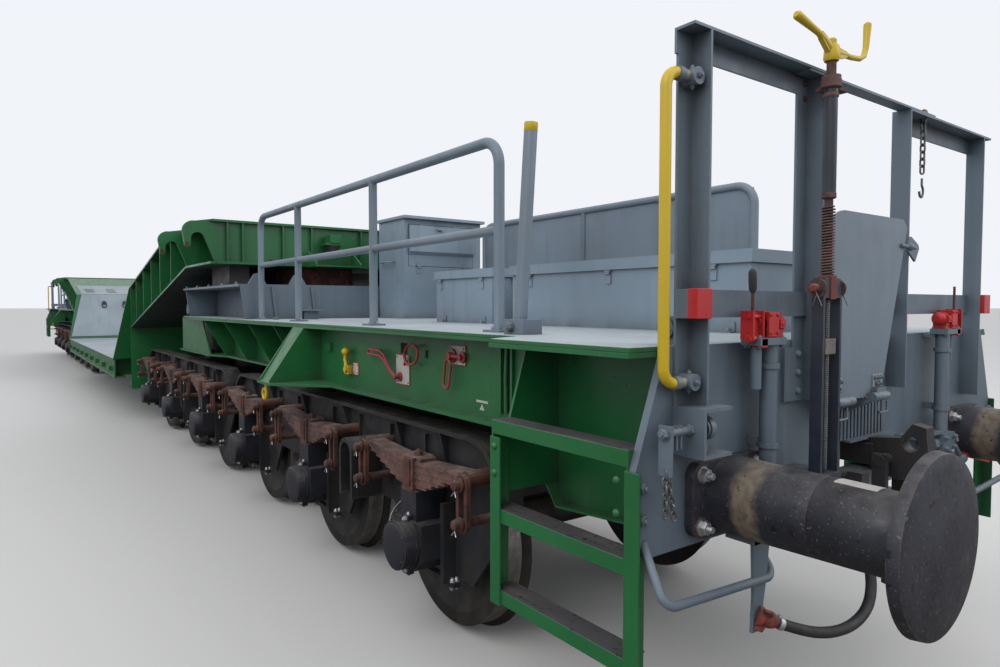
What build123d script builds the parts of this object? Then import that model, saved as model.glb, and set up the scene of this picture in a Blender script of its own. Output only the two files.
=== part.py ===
"""Twelve-axle heavy-duty well wagon, at full size in millimetres.

X runs along the track with 0 at the middle of the wagon, Y across it, Z up from
the lowest point of the wheel flanges. A well bridge with two goosenecks rests on
two end frames, each end frame on two three-axle bogies. One end is modelled, the
other is its mirror image across the plane X = 0.
"""
import math
import os

from build123d import *

os.makedirs("parts", exist_ok=True)

# Overall length and heights
half_length = 13250  # wagon middle to the front face of a headstock
deck_z = 1530  # top of the end-frame deck
well_z = 893  # top of the well floor
fit_gap = 0.5  # running gap between faces that turn on each other
seat_gap = 0.3

# Wheels and axles
tread_r = 460
flange_height = 30
axle_z = tread_r + flange_height
axle_step = 1400
back_y = 680  # inner face of a wheel
wheel_width = 135
flange_root = 38  # how far the flange's slope reaches onto the tread
rim_depth = 70
disc_t = 75
hub_r = 140
hub_out = 20  # how far the hub stands out of the rim
axle_r = 85
journal_r = 62
journal_gap = 0.8
journal_end_y = 1075

# Bogies
outer_bogie_x = 10200
inner_bogie_x = 6000
side_y = 880  # middle of a bogie side plate
side_t = 20
frame_top_z = 1030
frame_half = 1960  # bogie middle to its end
droop_z = 760  # where the drooping end of a side plate turns upright
flange_w = 140
centre_plate_r = 220
centre_plate_z = 1085
kingpin_r = 60

# Springs
spring_y = 1002
spring_w = 100
leaf_t = 16
leaf_step = 3  # how far every second leaf stands back at each edge
leaf_halves = (480, 480, 425, 370, 315, 260, 205, 150)
spring_top_z = 890
spring_rise = 30  # how much the leaf ends stand above the middle
box_half = 140  # half width of an axle box
box_z = (372, 604)
cap_r = 118
cap_end_y = 1140
round_sides = 8  # flats on each half round of the small repeated links

# End frame
frame_bottom_z = 1145
plate_t = 15
deck_half = 1070
web_y = 950
recess_web_y = 780
nose_x = 5450
pivot_x = 7700  # where the bridge turns on the end frame
step_bay = 680  # length of the step bay behind the headstock
bay_half = 1270  # half width of the deck over the step bay
deck_end_x = 6500

# Headstock
head_t = 25
head_low_z = 940
head_low_half = 1211
head_chamfer_z = 1000
head_wide_half = 1265
head_wide_z = 1181
head_top_half = 1138
buffer_y = 875
buffer_z = 1076
buffer_length = 620
buffer_head_r = 225
angle_w = 70  # leg of the portal's angle irons
angle_t = 8
portal_left_z = 2416
portal_right_z = 2400
handrail_r = 16

# Pedestal and bearing under the gooseneck
pedestal_x = (6750, 8750)
pedestal_top_z = 1820
pedestal_half = 1000
bearing_r = 380
bridge_pin_r = 90
bridge_pin_gap = 0.8

# Well bridge
well_half = 1333
well_foot_x = 3500
knee = (3760, 1890)
slope_top = (6050, 2330)
belly_x = 3850
belly_low_z = 480
belly_bend_z = 1330
belly_top = (7300, 2007)
arm_half = 1150
arm_web_y = 780
beam_x = (7150, 8250)  # the two hooked webs of the cross beam
beam_z = (2007, 2390)
beam_web_t = 30
hook_half = 1370
skin = 20

# Railings
rail_r = 24
rail_y = 900
rail_top_z = 2360
rail_mid_z = 1970

# Chests and cabinet on the deck
sheet_t = 5
lid_gap = 0.5
chest_y = (-150, 560)
chest_top_z = 1850
chest_spans = {"long": (11250, 12860), "small": (10370, 11040)}
cabinet_x = (8775, 9250)
cabinet_y = (200, 1000)
cabinet_top_z = 2420


def prism(plane, outline, amount, mode=Mode.ADD):
    """Extrude a closed outline from its plane into the open part."""
    with BuildSketch(plane) as profile:
        with BuildLine():
            Polyline(*outline, close=True)
        make_face()
    extrude(profile.sketch, amount=amount, mode=mode)


def block(x, y, z, mode=Mode.ADD):
    """A box between two corners, each argument a (low, high) pair."""
    with Locations(((x[0] + x[1]) / 2, (y[0] + y[1]) / 2, (z[0] + z[1]) / 2)):
        Box(x[1] - x[0], y[1] - y[0], z[1] - z[0], mode=mode)


def rod(start, end, radius, mode=Mode.ADD, sides=0):
    """A round bar from one point to another, or one with flat sides."""
    run = Vector(*end) - Vector(*start)
    with BuildSketch(Plane(origin=start, z_dir=run)) as section:
        if sides:
            RegularPolygon(radius, sides)
        else:
            Circle(radius)
    extrude(section.sketch, amount=run.length, mode=mode)


def tube_path(points, radius, bend):
    """A round tube along straight runs, with bends of one radius between them."""
    corners = [Vector(*point) for point in points]
    start = corners[0]
    for before, corner, after in zip(corners, corners[1:], corners[2:]):
        into = (corner - before).normalized()
        out = (after - corner).normalized()
        turn = into.get_angle(out)
        reach = bend * math.tan(math.radians(turn) / 2)
        bend_start = corner - into * reach
        rod(start, bend_start, radius)
        turn_axis = into.cross(out).normalized()
        with BuildSketch(Plane(origin=bend_start, z_dir=into)) as section:
            Circle(radius)
        centre = bend_start + turn_axis.cross(into) * bend
        revolve(section.sketch, axis=Axis(centre, turn_axis), revolution_arc=turn)
        start = corner + out * reach
    rod(start, corners[-1], radius)


def across(y):
    """Plane square to Y whose normal points towards -Y."""
    return Plane.XZ.offset(-y)


def stadium(x, z, half_run, radius):
    """Outline of an upright slot, its round ends in a few flats."""
    points = []
    for flat in range(round_sides + 1):
        angle = math.pi * flat / round_sides
        points.append((x + radius * math.cos(angle), z + half_run + radius * math.sin(angle)))
    return points + [(2 * x - px, 2 * z - pz) for px, pz in points]


pieces = {}  # node name to finished part
end_pieces = {}  # pieces of one end, without their end letter


# Wheelset: axle, two wheels and two journals, turned about Y
rim_y = back_y + wheel_width
wheel_profile = [
    # (distance from the axle's middle, radius)
    (0, 0),
    (0, axle_r),
    (back_y, axle_r),
    (back_y, axle_z),
    (back_y + flange_root, tread_r),
    (rim_y, tread_r - 4),
    (rim_y, tread_r - rim_depth),
    (back_y + disc_t, hub_r),
    (rim_y + hub_out, hub_r),
    (rim_y + hub_out, journal_r),
    (journal_end_y, journal_r),
    (journal_end_y, 0),
]
with BuildPart() as wheelset:
    with BuildSketch(Plane.YZ):
        with BuildLine():
            Polyline(*wheel_profile, close=True)
        make_face()
    revolve(axis=Axis.Y)
    mirror(about=Plane.XZ)


# Bogie frame: two side plates with flanges and horns, transoms and a centre bolster
wheel_xs = (-axle_step, 0, axle_step)
horn_half = 165
horn_low_z = 330
side_outer = side_y + side_t / 2
flange_out = 950
rib_xs = (-1500, -1050, -350, 350, 1050, 1500)
transom_xs = (-axle_step / 2, axle_step / 2)

with BuildPart() as bogie_frame:
    # side plate in X-Z with drooping ends and three horn openings
    with BuildSketch(across(side_outer)) as side_sketch:
        with BuildLine():
            end_low = Line((frame_half, 640), (frame_half, droop_z))
            droop = ThreePointArc(end_low @ 1, (frame_half - 50, 965), (frame_half - 240, frame_top_z))
            top_edge = Line(droop @ 1, (-(frame_half - 240), frame_top_z))
            droop_2 = ThreePointArc(top_edge @ 1, (-(frame_half - 50), 965), (-frame_half, droop_z))
            Polyline(
                droop_2 @ 1,
                (-frame_half, 640),
                (-frame_half + 250, horn_low_z),
                (frame_half - 250, horn_low_z),
                end_low @ 0,
            )
        make_face()
        for x in wheel_xs:
            with Locations((x, (horn_low_z + 660) / 2)):
                Rectangle(2 * horn_half, 660 - horn_low_z, mode=Mode.SUBTRACT)
        for x in transom_xs:
            with BuildLine():
                Polyline(
                    (x - 380, horn_low_z), (x - 230, 560), (x + 230, 560), (x + 380, horn_low_z), close=True
                )
            make_face(mode=Mode.SUBTRACT)
    extrude(side_sketch.sketch, amount=side_t)
    # top flange follows the drooping ends
    with BuildSketch(across(flange_out)) as flange_sketch:
        with BuildLine():
            droop_a = ThreePointArc(
                (frame_half + skin, droop_z), (frame_half - 34, 980), (frame_half - 240, frame_top_z + skin)
            )
            over = Line(droop_a @ 1, (-(frame_half - 240), frame_top_z + skin))
            droop_b = ThreePointArc(over @ 1, (-(frame_half - 34), 980), (-frame_half - skin, droop_z))
            foot_b = Line(droop_b @ 1, (-frame_half, droop_z))
            under_b = ThreePointArc(foot_b @ 1, (-(frame_half - 50), 965), (-(frame_half - 240), frame_top_z))
            under = Line(under_b @ 1, (frame_half - 240, frame_top_z))
            under_a = ThreePointArc(under @ 1, (frame_half - 50, 965), (frame_half, droop_z))
            Line(under_a @ 1, droop_a @ 0)
        make_face()
    extrude(flange_sketch.sketch, amount=flange_w)
    # ribs between the side plate and the flange edge
    for x in rib_xs:
        prism(
            Plane.YZ.offset(x - 6),
            [(-side_outer + 1, frame_top_z), (-flange_out + 5, frame_top_z), (-side_outer + 1, 820)],
            12,
        )
    # horn guides and the tie bar that joins them under each box
    for x in wheel_xs:
        for side in (-1, 1):
            edge = x + side * (horn_half - 10)
            block((edge - 14, edge + 14), (-965, -side_y), (horn_low_z - 20, 700))
        block((x - horn_half - 30, x + horn_half + 30), (-925, -885), (horn_low_z - 40, horn_low_z - 15))
    # bracket with the round hood between the two outer springs
    hood_x = axle_step / 2
    with BuildSketch(across(-side_outer)) as hood:
        with Locations((hood_x, 690)):
            SlotCenterToCenter(240, 170, rotation=90)
            SlotCenterToCenter(230, 130, rotation=90, mode=Mode.SUBTRACT)
        with Locations((hood_x, 500)):
            Rectangle(200, 120, mode=Mode.SUBTRACT)
    extrude(hood.sketch, amount=190)
    mirror(about=Plane.XZ)
    for x in transom_xs:
        block((x - 95, x + 95), (-side_y, side_y), (640, 960))
    for end in (-1, 1):
        beam = sorted((end * (frame_half - 20), end * (frame_half - 75)))
        block(beam, (-side_y, side_y), (790, 950))
    # bolster over the wheels with the centre plate and side bearers
    block((-230, 230), (-side_y, side_y), (996, frame_top_z))
    for y in (-170, 170):
        block((-axle_step / 2, axle_step / 2), (y - 15, y + 15), (700, 996))
    with Locations((0, 0, (frame_top_z + centre_plate_z) / 2)):
        Cylinder(centre_plate_r, centre_plate_z - frame_top_z)
    for y in (-600, 600):
        block((-110, 110), (y - 60, y + 60), (frame_top_z, frame_bottom_z - fit_gap))
    with Locations((0, 0, 1000)):
        Cylinder(kingpin_r + 0.6, 300, mode=Mode.SUBTRACT)


# Spring set over one axle box, built at the axle on the -Y side
ring_z = 850
ring_drop = 170
ring_r = 42
ring_t = 22
bar_r = 34
link_pin_r = 21
pin_out = 18
slope = spring_rise / leaf_halves[0]
pack_low = spring_top_z - len(leaf_halves) * leaf_t
ring_y = -spring_y - spring_w / 2
with BuildPart() as spring_set:
    for index, half in enumerate(leaf_halves):
        top = spring_top_z - index * leaf_t
        tip = top + slope * half
        upper = [(-half, tip), (0, top), (half, tip)]
        leaf = upper + [(x, z - leaf_t) for x, z in reversed(upper)]
        stand_back = (index % 2) * leaf_step
        prism(across(-spring_y + spring_w / 2 - stand_back), leaf, spring_w - 2 * stand_back)
    block((-50, 50), (-spring_y - 62, -spring_y + 62), (pack_low - 18, spring_top_z + 22))
    block((-95, 95), (-spring_y - 45, -spring_y + 45), (spring_top_z + 4, spring_top_z + 22))
    # axle box with its round cap, bored for the journal
    box_outline = [
        (-box_half, box_z[0] + 60),
        (-box_half + 60, box_z[0]),
        (box_half - 60, box_z[0]),
        (box_half, box_z[0] + 60),
        (box_half, box_z[1]),
        (-box_half, box_z[1]),
    ]
    prism(across(-870), box_outline, 200)
    block((-75, 75), (-1060, -side_outer - 5), (box_z[1], pack_low - 10))
    rod((0, -1070, axle_z), (0, -cap_end_y, axle_z), cap_r)
    bore_end = -journal_end_y - fit_gap
    rod((0, -860, axle_z), (0, bore_end, axle_z), journal_r + journal_gap, mode=Mode.SUBTRACT)
    # link ring and pins at each spring end
    for side in (-1, 1):
        end_x = side * (leaf_halves[0] + 12)
        ring_mid = ring_z - ring_drop / 2 + 30
        with BuildSketch(across(ring_y)) as ring:
            with BuildLine():
                Polyline(*stadium(end_x, ring_mid, ring_drop / 2, ring_r), close=True)
            make_face()
            with BuildLine():
                Polyline(*stadium(end_x, ring_mid, ring_drop / 2, link_pin_r - 1), close=True)
            make_face(mode=Mode.SUBTRACT)
        extrude(ring.sketch, amount=ring_t)
        for z in (ring_mid + ring_drop / 2, ring_mid - ring_drop / 2):
            pin_end = ring_y - ring_t - pin_out
            rod((end_x, pin_end, z), (end_x, -side_outer, z), link_pin_r, sides=2 * round_sides)
        bar_z = ring_mid + ring_drop / 2 + link_pin_r
        rod((end_x, ring_y, bar_z), (end_x, -side_outer, bar_z), bar_r, sides=2 * round_sides)

with BuildPart() as springs:
    for x in wheel_xs:
        add(spring_set.part.moved(Location((x, 0, 0))))
    mirror(about=Plane.XZ)

for tag, bogie_x in (("1", outer_bogie_x), ("2", inner_bogie_x)):
    end_pieces["bogie_frame_" + tag] = bogie_frame.part.moved(Location((bogie_x, 0, 0)))
    end_pieces["springs_" + tag] = springs.part.moved(Location((bogie_x, 0, 0)))


# Green end frame: flanges, webs, cross frames, step bays, outriggers and kingpins
bay_x = half_length - step_bay
frame_top = deck_z - plate_t
outrigger_x = outer_bogie_x
recess_end_x = 7050
cross_xs = (nose_x + 20, pedestal_x[0], pivot_x, pedestal_x[1], 9480, 10900, 11600)
bay_low_z = 900  # lower edge of the step bay's back wall
lip_w = 60
lip_t = 8
lash_x = outrigger_x - 135  # hook under each outrigger foot
lash_y = 1264
lash_r = 40
lash_t = 16
with BuildPart() as end_frame:
    # top flange, widened over the step bays
    deck_outline = [
        (nose_x, -700),
        (recess_end_x - 900, -950),
        (recess_end_x, -deck_half),
        (bay_x - 90, -deck_half),
        (bay_x, -bay_half),
        (half_length - head_t, -bay_half),
        (half_length - head_t, bay_half),
        (bay_x, bay_half),
        (bay_x - 90, deck_half),
        (recess_end_x, deck_half),
        (recess_end_x - 900, 950),
        (nose_x, 700),
    ]
    prism(Plane.XY.offset(frame_top - plate_t), deck_outline, plate_t)
    for side in (-1, 1):
        # bottom flange strip
        low_flange = [
            (nose_x, side * 480),
            (nose_x, side * 700),
            (recess_end_x - 900, side * 980),
            (recess_end_x + 350, side * 980),
            (recess_end_x + 650, side * 870),
            (outrigger_x - 500, side * 870),
            (outrigger_x - 180, side * 1300),
            (outrigger_x + 60, side * 1300),
            (outrigger_x + 380, side * 1020),
            (bay_x, side * 1020),
            (bay_x, side * 480),
        ]
        prism(Plane.XY.offset(frame_bottom_z), low_flange, plate_t)
        # recessed web, near web and the panel over the inner bogie
        low, high = frame_bottom_z + plate_t, frame_top - plate_t
        inset = side * recess_web_y
        block((nose_x + 300, outrigger_x), sorted((inset, inset - side * plate_t)), (low, high))
        near = side * web_y
        block((outrigger_x - 20, bay_x), sorted((near, near - side * plate_t)), (low, high))
        panel = [
            (recess_end_x - 900, low),
            (recess_end_x - 900, high),
            (recess_end_x, high),
            (recess_end_x + 300, low),
        ]
        prism(across(max(near, near - side * plate_t)), panel, plate_t)
        # outrigger: a brace plate from the deck edge out to the foot, with its webs
        brace = [
            (side * (web_y - 10), low),
            (side * 1290, low),
            (side * 1290, low + 20),
            (side * deck_half, high),
            (side * (web_y - 10), high),
        ]
        for x in (outrigger_x - 150, outrigger_x + 30):
            prism(Plane.YZ.offset(x), brace, plate_t)
        face = [
            (side * deck_half, high),
            (side * (deck_half - 16), high),
            (side * 1274, low),
            (side * 1290, low),
        ]
        prism(Plane.YZ.offset(outrigger_x - 150), face, 180)
        # back wall of the step bay with the lip along its lower edge, and the wing plate
        wall_foot = [(bay_x, bay_low_z + 80), (bay_x + 60, bay_low_z), (half_length - head_t, bay_low_z + 45)]
        wall = wall_foot + [(half_length - head_t, high), (bay_x, high)]
        prism(across(max(near, near - side * plate_t)), wall, plate_t)
        lip = wall_foot + [(x, z + lip_t) for x, z in reversed(wall_foot)]
        prism(across(max(near, near + side * lip_w)), lip, lip_w)
        wing = [
            (side * (web_y - 10), bay_low_z + 80),
            (side * (head_wide_half - 19), bay_low_z + 80),
            (side * (head_wide_half - 19), bay_low_z + 133),
            (side * (head_top_half - 31), high),
            (side * (web_y - 10), high),
        ]
        prism(Plane.YZ.offset(bay_x), wing, 12)
        # open hook under the outrigger
        with BuildSketch(across(side * lash_y + lash_t / 2)) as lash:
            with Locations((lash_x, frame_bottom_z - 70)):
                Circle(lash_r)
                Circle(lash_r - lash_t, mode=Mode.SUBTRACT)
            with Locations((lash_x - lash_r / 2, frame_bottom_z - 70 + lash_r / 2)):
                Rectangle(lash_r, lash_r, mode=Mode.SUBTRACT)
            with Locations((lash_x + lash_r - lash_t / 2, frame_bottom_z - 35)):
                Rectangle(lash_t, 70)
        extrude(lash.sketch, amount=lash_t)
        # slanted ribs in the recess
        for x in (7600, 8300, 9000, 9600):
            rib = [(inset, low), (side * 865, low), (side * 1060, high), (inset, high)]
            prism(Plane.YZ.offset(x), rib, 12)
        # central longitudinals
        block((nose_x, half_length - head_t), sorted((side * 250, side * 265)), (low, high))
    web_z = (frame_bottom_z + plate_t, frame_top - plate_t)
    for x in cross_xs:
        block((x, x + plate_t), (-recess_web_y, recess_web_y), web_z)
    for x in cross_xs[-2:] + (bay_x - plate_t,):
        for side in (-1, 1):
            wide = sorted((side * recess_web_y, side * (web_y - plate_t / 2)))
            block((x, x + plate_t), wide, web_z)
    # kingpin blocks over the bogies
    for x in (outer_bogie_x, inner_bogie_x):
        block((x - 300, x + 300), (-500, 500), (frame_bottom_z, frame_bottom_z + plate_t))
        with Locations((x, 0, (centre_plate_z + fit_gap + frame_top - plate_t) / 2)):
            Cylinder(centre_plate_r - 20, frame_top - plate_t - centre_plate_z - fit_gap)
        with Locations((x, 0, (1000 + centre_plate_z + 10) / 2)):
            Cylinder(kingpin_r, centre_plate_z + 10 - 1000)
end_pieces["end_frame"] = end_frame.part


# Deck plates with the non-slip top, on the end frame's top flange
with BuildPart() as deck:
    inset_outline = [
        (deck_end_x, -deck_half + 60),
        (deck_end_x + 600, -deck_half + 6),
        (bay_x - 90, -deck_half + 6),
        (bay_x + 4, -bay_half + 6),
        (half_length - head_t, -bay_half + 6),
        (half_length - head_t, bay_half - 6),
        (bay_x + 4, bay_half - 6),
        (bay_x - 90, deck_half - 6),
        (deck_end_x + 600, deck_half - 6),
        (deck_end_x, deck_half - 60),
    ]
    prism(Plane.XY.offset(frame_top), inset_outline, plate_t)
end_pieces["deck"] = deck.part


# Headstock with the two portals of angle irons, the bar that joins them and the grips
portal_posts = (
    # (corner, side that the back leg points to, foot, top)
    (-1040, -1, 1222, portal_left_z),
    (-435, -1, 1325, portal_left_z),
    (185, 1, 1325, portal_right_z),
    (912, 1, 1240, portal_right_z),
)
portal_front = half_length + angle_w
crossbar_z = (1610, 1692)
crossbar_t = 10
cap_reach = 85  # how far the crossbar's end caps stand out
bridge_low_z = 1320
bridge_top_z = 1968
bridge_t = 10
bridge_foot_y = (-410, -52)
bridge_head_y = (-428, 131)
bridge_x = portal_front + 8  # back of the plate, in front of the portal posts
bridge_hinge_x = bridge_x + bridge_t + 20
bridge_hinge_r = 16
knuckle_w = 70
lug_w = 38
draw_z = 1092
draw_slot = (330, 106)
lip_reach = 38  # how far the lips over and under the draw slot stand out
corrugated_y = (-222, 165)
corrugation = (14, 10, 26)  # width, depth and pitch of the ribs over the draw slot
handrail_x = half_length + angle_t + 24
handrail_z = (1430, 2280)
clasp_y = -1080
clasp_x = half_length + 62
with BuildPart() as headstock:
    face_outline = [
        (-head_low_half, head_low_z),
        (head_low_half, head_low_z),
        (head_wide_half, head_chamfer_z),
        (head_wide_half, head_wide_z),
        (head_top_half, deck_z),
        (-head_top_half, deck_z),
        (-head_wide_half, head_wide_z),
        (-head_wide_half, head_chamfer_z),
    ]
    prism(Plane.YZ.offset(half_length - head_t), face_outline, head_t)
    with Locations((half_length - head_t / 2, 0, draw_z)):
        Box(2 * head_t, *draw_slot, mode=Mode.SUBTRACT)
    for z in (draw_z - draw_slot[1] / 2 - 8, draw_z + draw_slot[1] / 2):
        block((half_length, half_length + lip_reach), (-draw_slot[0] / 2, draw_slot[0] / 2), (z, z + 8))
    # portal posts: one leg on the headstock's face, the other forward
    for corner, side, foot, top in portal_posts:
        tall = (foot, top)
        block((half_length, half_length + angle_t), sorted((corner, corner + side * angle_w)), tall)
        block((half_length, portal_front), sorted((corner, corner + side * angle_t)), tall)
    beam_ends = (
        (portal_posts[0][0] - angle_w - 8, portal_posts[1][0], portal_left_z),
        (portal_posts[2][0], portal_posts[3][0] + angle_w + 8, portal_right_z),
    )
    for low_y, high_y, top in beam_ends:
        block((half_length, half_length + angle_t), (low_y, high_y), (top - angle_w, top))
        block((half_length, portal_front), (low_y, high_y), (top - angle_t, top))
    # flat bar from under the left beam onto the right one
    bar_span = (portal_posts[1][0] - 100, portal_posts[2][0] + 220)
    block((half_length + 18, half_length + 68), bar_span, (portal_right_z, portal_left_z - angle_t))
    # foot plate of the second post, crossbar with its end caps
    foot_plate = (portal_posts[1][0] - 125, portal_posts[1][0])
    block((half_length, half_length + 12), foot_plate, (portal_posts[1][2], deck_z - 25))
    across_y = (portal_posts[0][0] - angle_w, portal_posts[3][0] + angle_w)
    block((half_length + angle_t, half_length + angle_t + crossbar_t), across_y, crossbar_z)
    for corner, side, foot, top in (portal_posts[0], portal_posts[3]):
        cap_y = sorted((corner + side * 10, corner + side * 74))
        block((half_length + angle_t, half_length + cap_reach), cap_y, crossbar_z)
    # lugs that carry the bridge plate's hinge, each beside a knuckle
    for y in (bridge_foot_y[0] + knuckle_w + fit_gap, bridge_foot_y[1] - knuckle_w - fit_gap - lug_w):
        lug = [
            (half_length, bridge_low_z - 70),
            (half_length, bridge_low_z - 10),
            (bridge_hinge_x, bridge_low_z - 10),
            (bridge_hinge_x, bridge_low_z - bridge_hinge_r + 1),
        ]
        prism(across(y + lug_w), lug, lug_w)
        rod((bridge_hinge_x, y, bridge_low_z), (bridge_hinge_x, y + lug_w, bridge_low_z), bridge_hinge_r)
    # corrugated panel over the draw slot
    rib_w, rib_d, rib_pitch = corrugation
    panel_z = (draw_z + draw_slot[1] / 2 + 8, bridge_low_z + 15)
    panel_x_low, panel_x_high = half_length + 4, half_length + 4 + rib_d
    corrugated = [(half_length, corrugated_y[0]), (panel_x_low, corrugated_y[0])]
    for index in range(int((corrugated_y[1] - corrugated_y[0]) / rib_pitch)):
        y = corrugated_y[0] + rib_pitch * (index + 0.5) - rib_w / 2
        corrugated += [(panel_x_low, y), (panel_x_high, y)]
        corrugated += [(panel_x_high, y + rib_w), (panel_x_low, y + rib_w)]
    corrugated += [(panel_x_low, corrugated_y[1]), (half_length, corrugated_y[1])]
    prism(Plane.XY.offset(panel_z[0]), corrugated, panel_z[1] - panel_z[0])
    # handrail beside the left portal, held by a clasp at each end
    rail_route = [
        (handrail_x, clasp_y, handrail_z[1]),
        (handrail_x, clasp_y - 110, handrail_z[1]),
        (handrail_x, clasp_y - 110, handrail_z[0]),
        (handrail_x, clasp_y, handrail_z[0]),
    ]
    tube_path(rail_route, handrail_r, 45)
    for z in handrail_z:
        rod((half_length, clasp_y, z), (half_length + 56, clasp_y, z), handrail_r + 8)
    # shunter's handle under each buffer, from the corner to the middle
    for side in (-1, 1):
        handle_route = [
            (half_length - 5, side * 1225, 985),
            (half_length + 100, side * 1253, 843),
            (half_length + 100, side * 745, 815),
            (half_length - 5, side * 745, 950),
        ]
        tube_path(handle_route, 13, 40)
    # bracket at the left corner: a short channel with its pin, washer and hanging link
    for z in (1222, 1352):
        block((half_length, half_length + 110), (-1110, -985), (z, z + 10))
    block((half_length, half_length + 110), (-1110, -1100), (1222, 1362))
    rod((clasp_x, -1225, 1300), (clasp_x, -1045, 1300), 12)
    rod((clasp_x, -1065, 1300), (clasp_x, -1055, 1300), 30)
    block((clasp_x - 22, clasp_x + 22), (-1216, -1208), (1185, 1322))
end_pieces["headstock"] = headstock.part


# Buffers: base plate, sleeve, plunger and dished head
base_y = 355
base_z = 225
barrel_r = 112
plunger_r = 96
head_back = half_length + buffer_length - 52  # back of the round head
with BuildPart() as buffers:
    for y in (-buffer_y, buffer_y):
        with BuildSketch(Plane.YZ.offset(half_length)) as base:
            with Locations((y, buffer_z)):
                RectangleRounded(base_y, base_z, 45)
        extrude(base.sketch, amount=30)
        barrel_profile = [
            # (X, radius)
            (half_length + 30, 0),
            (half_length + 30, barrel_r + 6),
            (half_length + 330, barrel_r),
            (half_length + 345, plunger_r),
            (head_back, plunger_r),
            (head_back + 12, buffer_head_r),
            (head_back + 40, buffer_head_r - 4),
            (half_length + buffer_length, 70),
            (half_length + buffer_length, 0),
        ]
        with BuildSketch(Plane(origin=(0, y, buffer_z), x_dir=(1, 0, 0), z_dir=(0, -1, 0))) as barrel:
            with BuildLine():
                Polyline(*barrel_profile, close=True)
            make_face()
        revolve(barrel.sketch, axis=Axis((0, y, buffer_z), (1, 0, 0)))
end_pieces["buffers"] = buffers.part


# Draw gear: hook shank and the screw coupling hanging from it
hook_t = 60
hook_back = half_length + lip_reach + seat_gap  # the hook's shoulder rests against the slot's lips
with BuildPart() as draw_gear:
    block((half_length - 200, half_length + 60), (-45, 45), (draw_z - 40, draw_z + 40))
    hook_outline = [
        (hook_back, draw_z + 60),
        (half_length + 150, draw_z + 75),
        (half_length + 190, draw_z + 130),
        (half_length + 235, draw_z + 120),
        (half_length + 245, draw_z + 20),
        (half_length + 215, draw_z - 55),
        (half_length + 150, draw_z - 80),
        (hook_back, draw_z - 60),
    ]
    prism(across(-hook_t / 2), hook_outline, -hook_t)
    with BuildSketch(across(-hook_t)) as throat:
        with Locations((half_length + 185, draw_z + 55)):
            Circle(28)
    extrude(throat.sketch, amount=-2 * hook_t, mode=Mode.SUBTRACT)
    rod((half_length + 105, -95, draw_z - 10), (half_length + 105, 95, draw_z - 10), 22)
    for y in (-80, 80):
        block((half_length + 80, half_length + 130), (y - 11, y + 11), (draw_z - 330, draw_z + 15))
    rod((half_length + 105, -110, draw_z - 310), (half_length + 105, 110, draw_z - 310), 26)
    rod((half_length + 105, 0, draw_z - 480), (half_length + 105, 0, draw_z - 310), 22)
end_pieces["draw_gear"] = draw_gear.part


# Steps at both corners: angle stringers and three treads
step_y = head_wide_half
tread_zs = (655, 940, 1248)
tread_d = 85
tread_t = 50
stringer_w = 56
stringer_t = 8
stringer_low_z = 600
stringer_top_z = 1190
stringer_xs = (bay_x + 12, half_length - head_t - stringer_t)
with BuildPart() as steps:
    for x in stringer_xs:
        block((x, x + stringer_w), (-step_y - stringer_t, -step_y), (stringer_low_z, stringer_top_z))
        block((x, x + stringer_t), (-step_y, -step_y + 70), (stringer_low_z, tread_zs[-1]))
    for z in tread_zs:
        span = (stringer_xs[0] + stringer_t, stringer_xs[1])
        block(span, (-step_y, -step_y + tread_d), (z - 6, z))
        block(span, (-step_y, -step_y + 6), (z - tread_t, z))
    mirror(about=Plane.XZ)
end_pieces["steps"] = steps.part


# Pedestal: cross box with inclined ribs, ears and the turntable with its pin
with BuildPart() as pedestal:
    body = [
        (-pedestal_half, deck_z),
        (-pedestal_half - 40, pedestal_top_z - skin),
        (pedestal_half + 40, pedestal_top_z - skin),
        (pedestal_half, deck_z),
    ]
    for x in (pedestal_x[0], pedestal_x[1] - skin):
        prism(Plane.YZ.offset(x), body, skin)
    block(pedestal_x, (-pedestal_half - 60, pedestal_half + 60), (pedestal_top_z - skin, pedestal_top_z))
    for y in (-720, -240, 240, 720):
        block((pedestal_x[0] + skin, pedestal_x[1] - skin), (y - 8, y + 8), (deck_z, pedestal_top_z - skin))
    for y in (-760, -420, 420, 760):
        lean = 30 if y < 0 else -30
        rib_top = pedestal_top_z - skin
        rib = [(y, deck_z), (y + 22, deck_z), (y + 22 - lean, rib_top), (y - lean, rib_top)]
        prism(Plane.YZ.offset(pedestal_x[1]), rib, 14)
    for y in (-900, -560):
        with BuildSketch(Plane.YZ.offset(pedestal_x[1] - 30)) as ear:
            with BuildLine():
                ear_z = pedestal_top_z + 70
                Polyline((y - 75, pedestal_top_z), (y + 75, pedestal_top_z), (y + 35, ear_z))
                ThreePointArc((y + 35, ear_z), (y, ear_z + 20), (y - 35, ear_z))
                Line((y - 35, ear_z), (y - 75, pedestal_top_z))
            make_face()
        extrude(ear.sketch, amount=30)
    gap_mid = (pedestal_top_z + beam_z[0] - fit_gap) / 2
    gap_height = beam_z[0] - fit_gap - pedestal_top_z
    with Locations((pivot_x, 0, gap_mid)):
        Cylinder(bearing_r, gap_height)
    with Locations((pivot_x, 0, beam_z[0] + 80)):
        Cylinder(bridge_pin_r, 240)
    for y in (-850, 850):
        block((pivot_x - 250, pivot_x + 350), (y - 90, y + 90), (pedestal_top_z, beam_z[0] - fit_gap))
end_pieces["pedestal"] = pedestal.part


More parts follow.
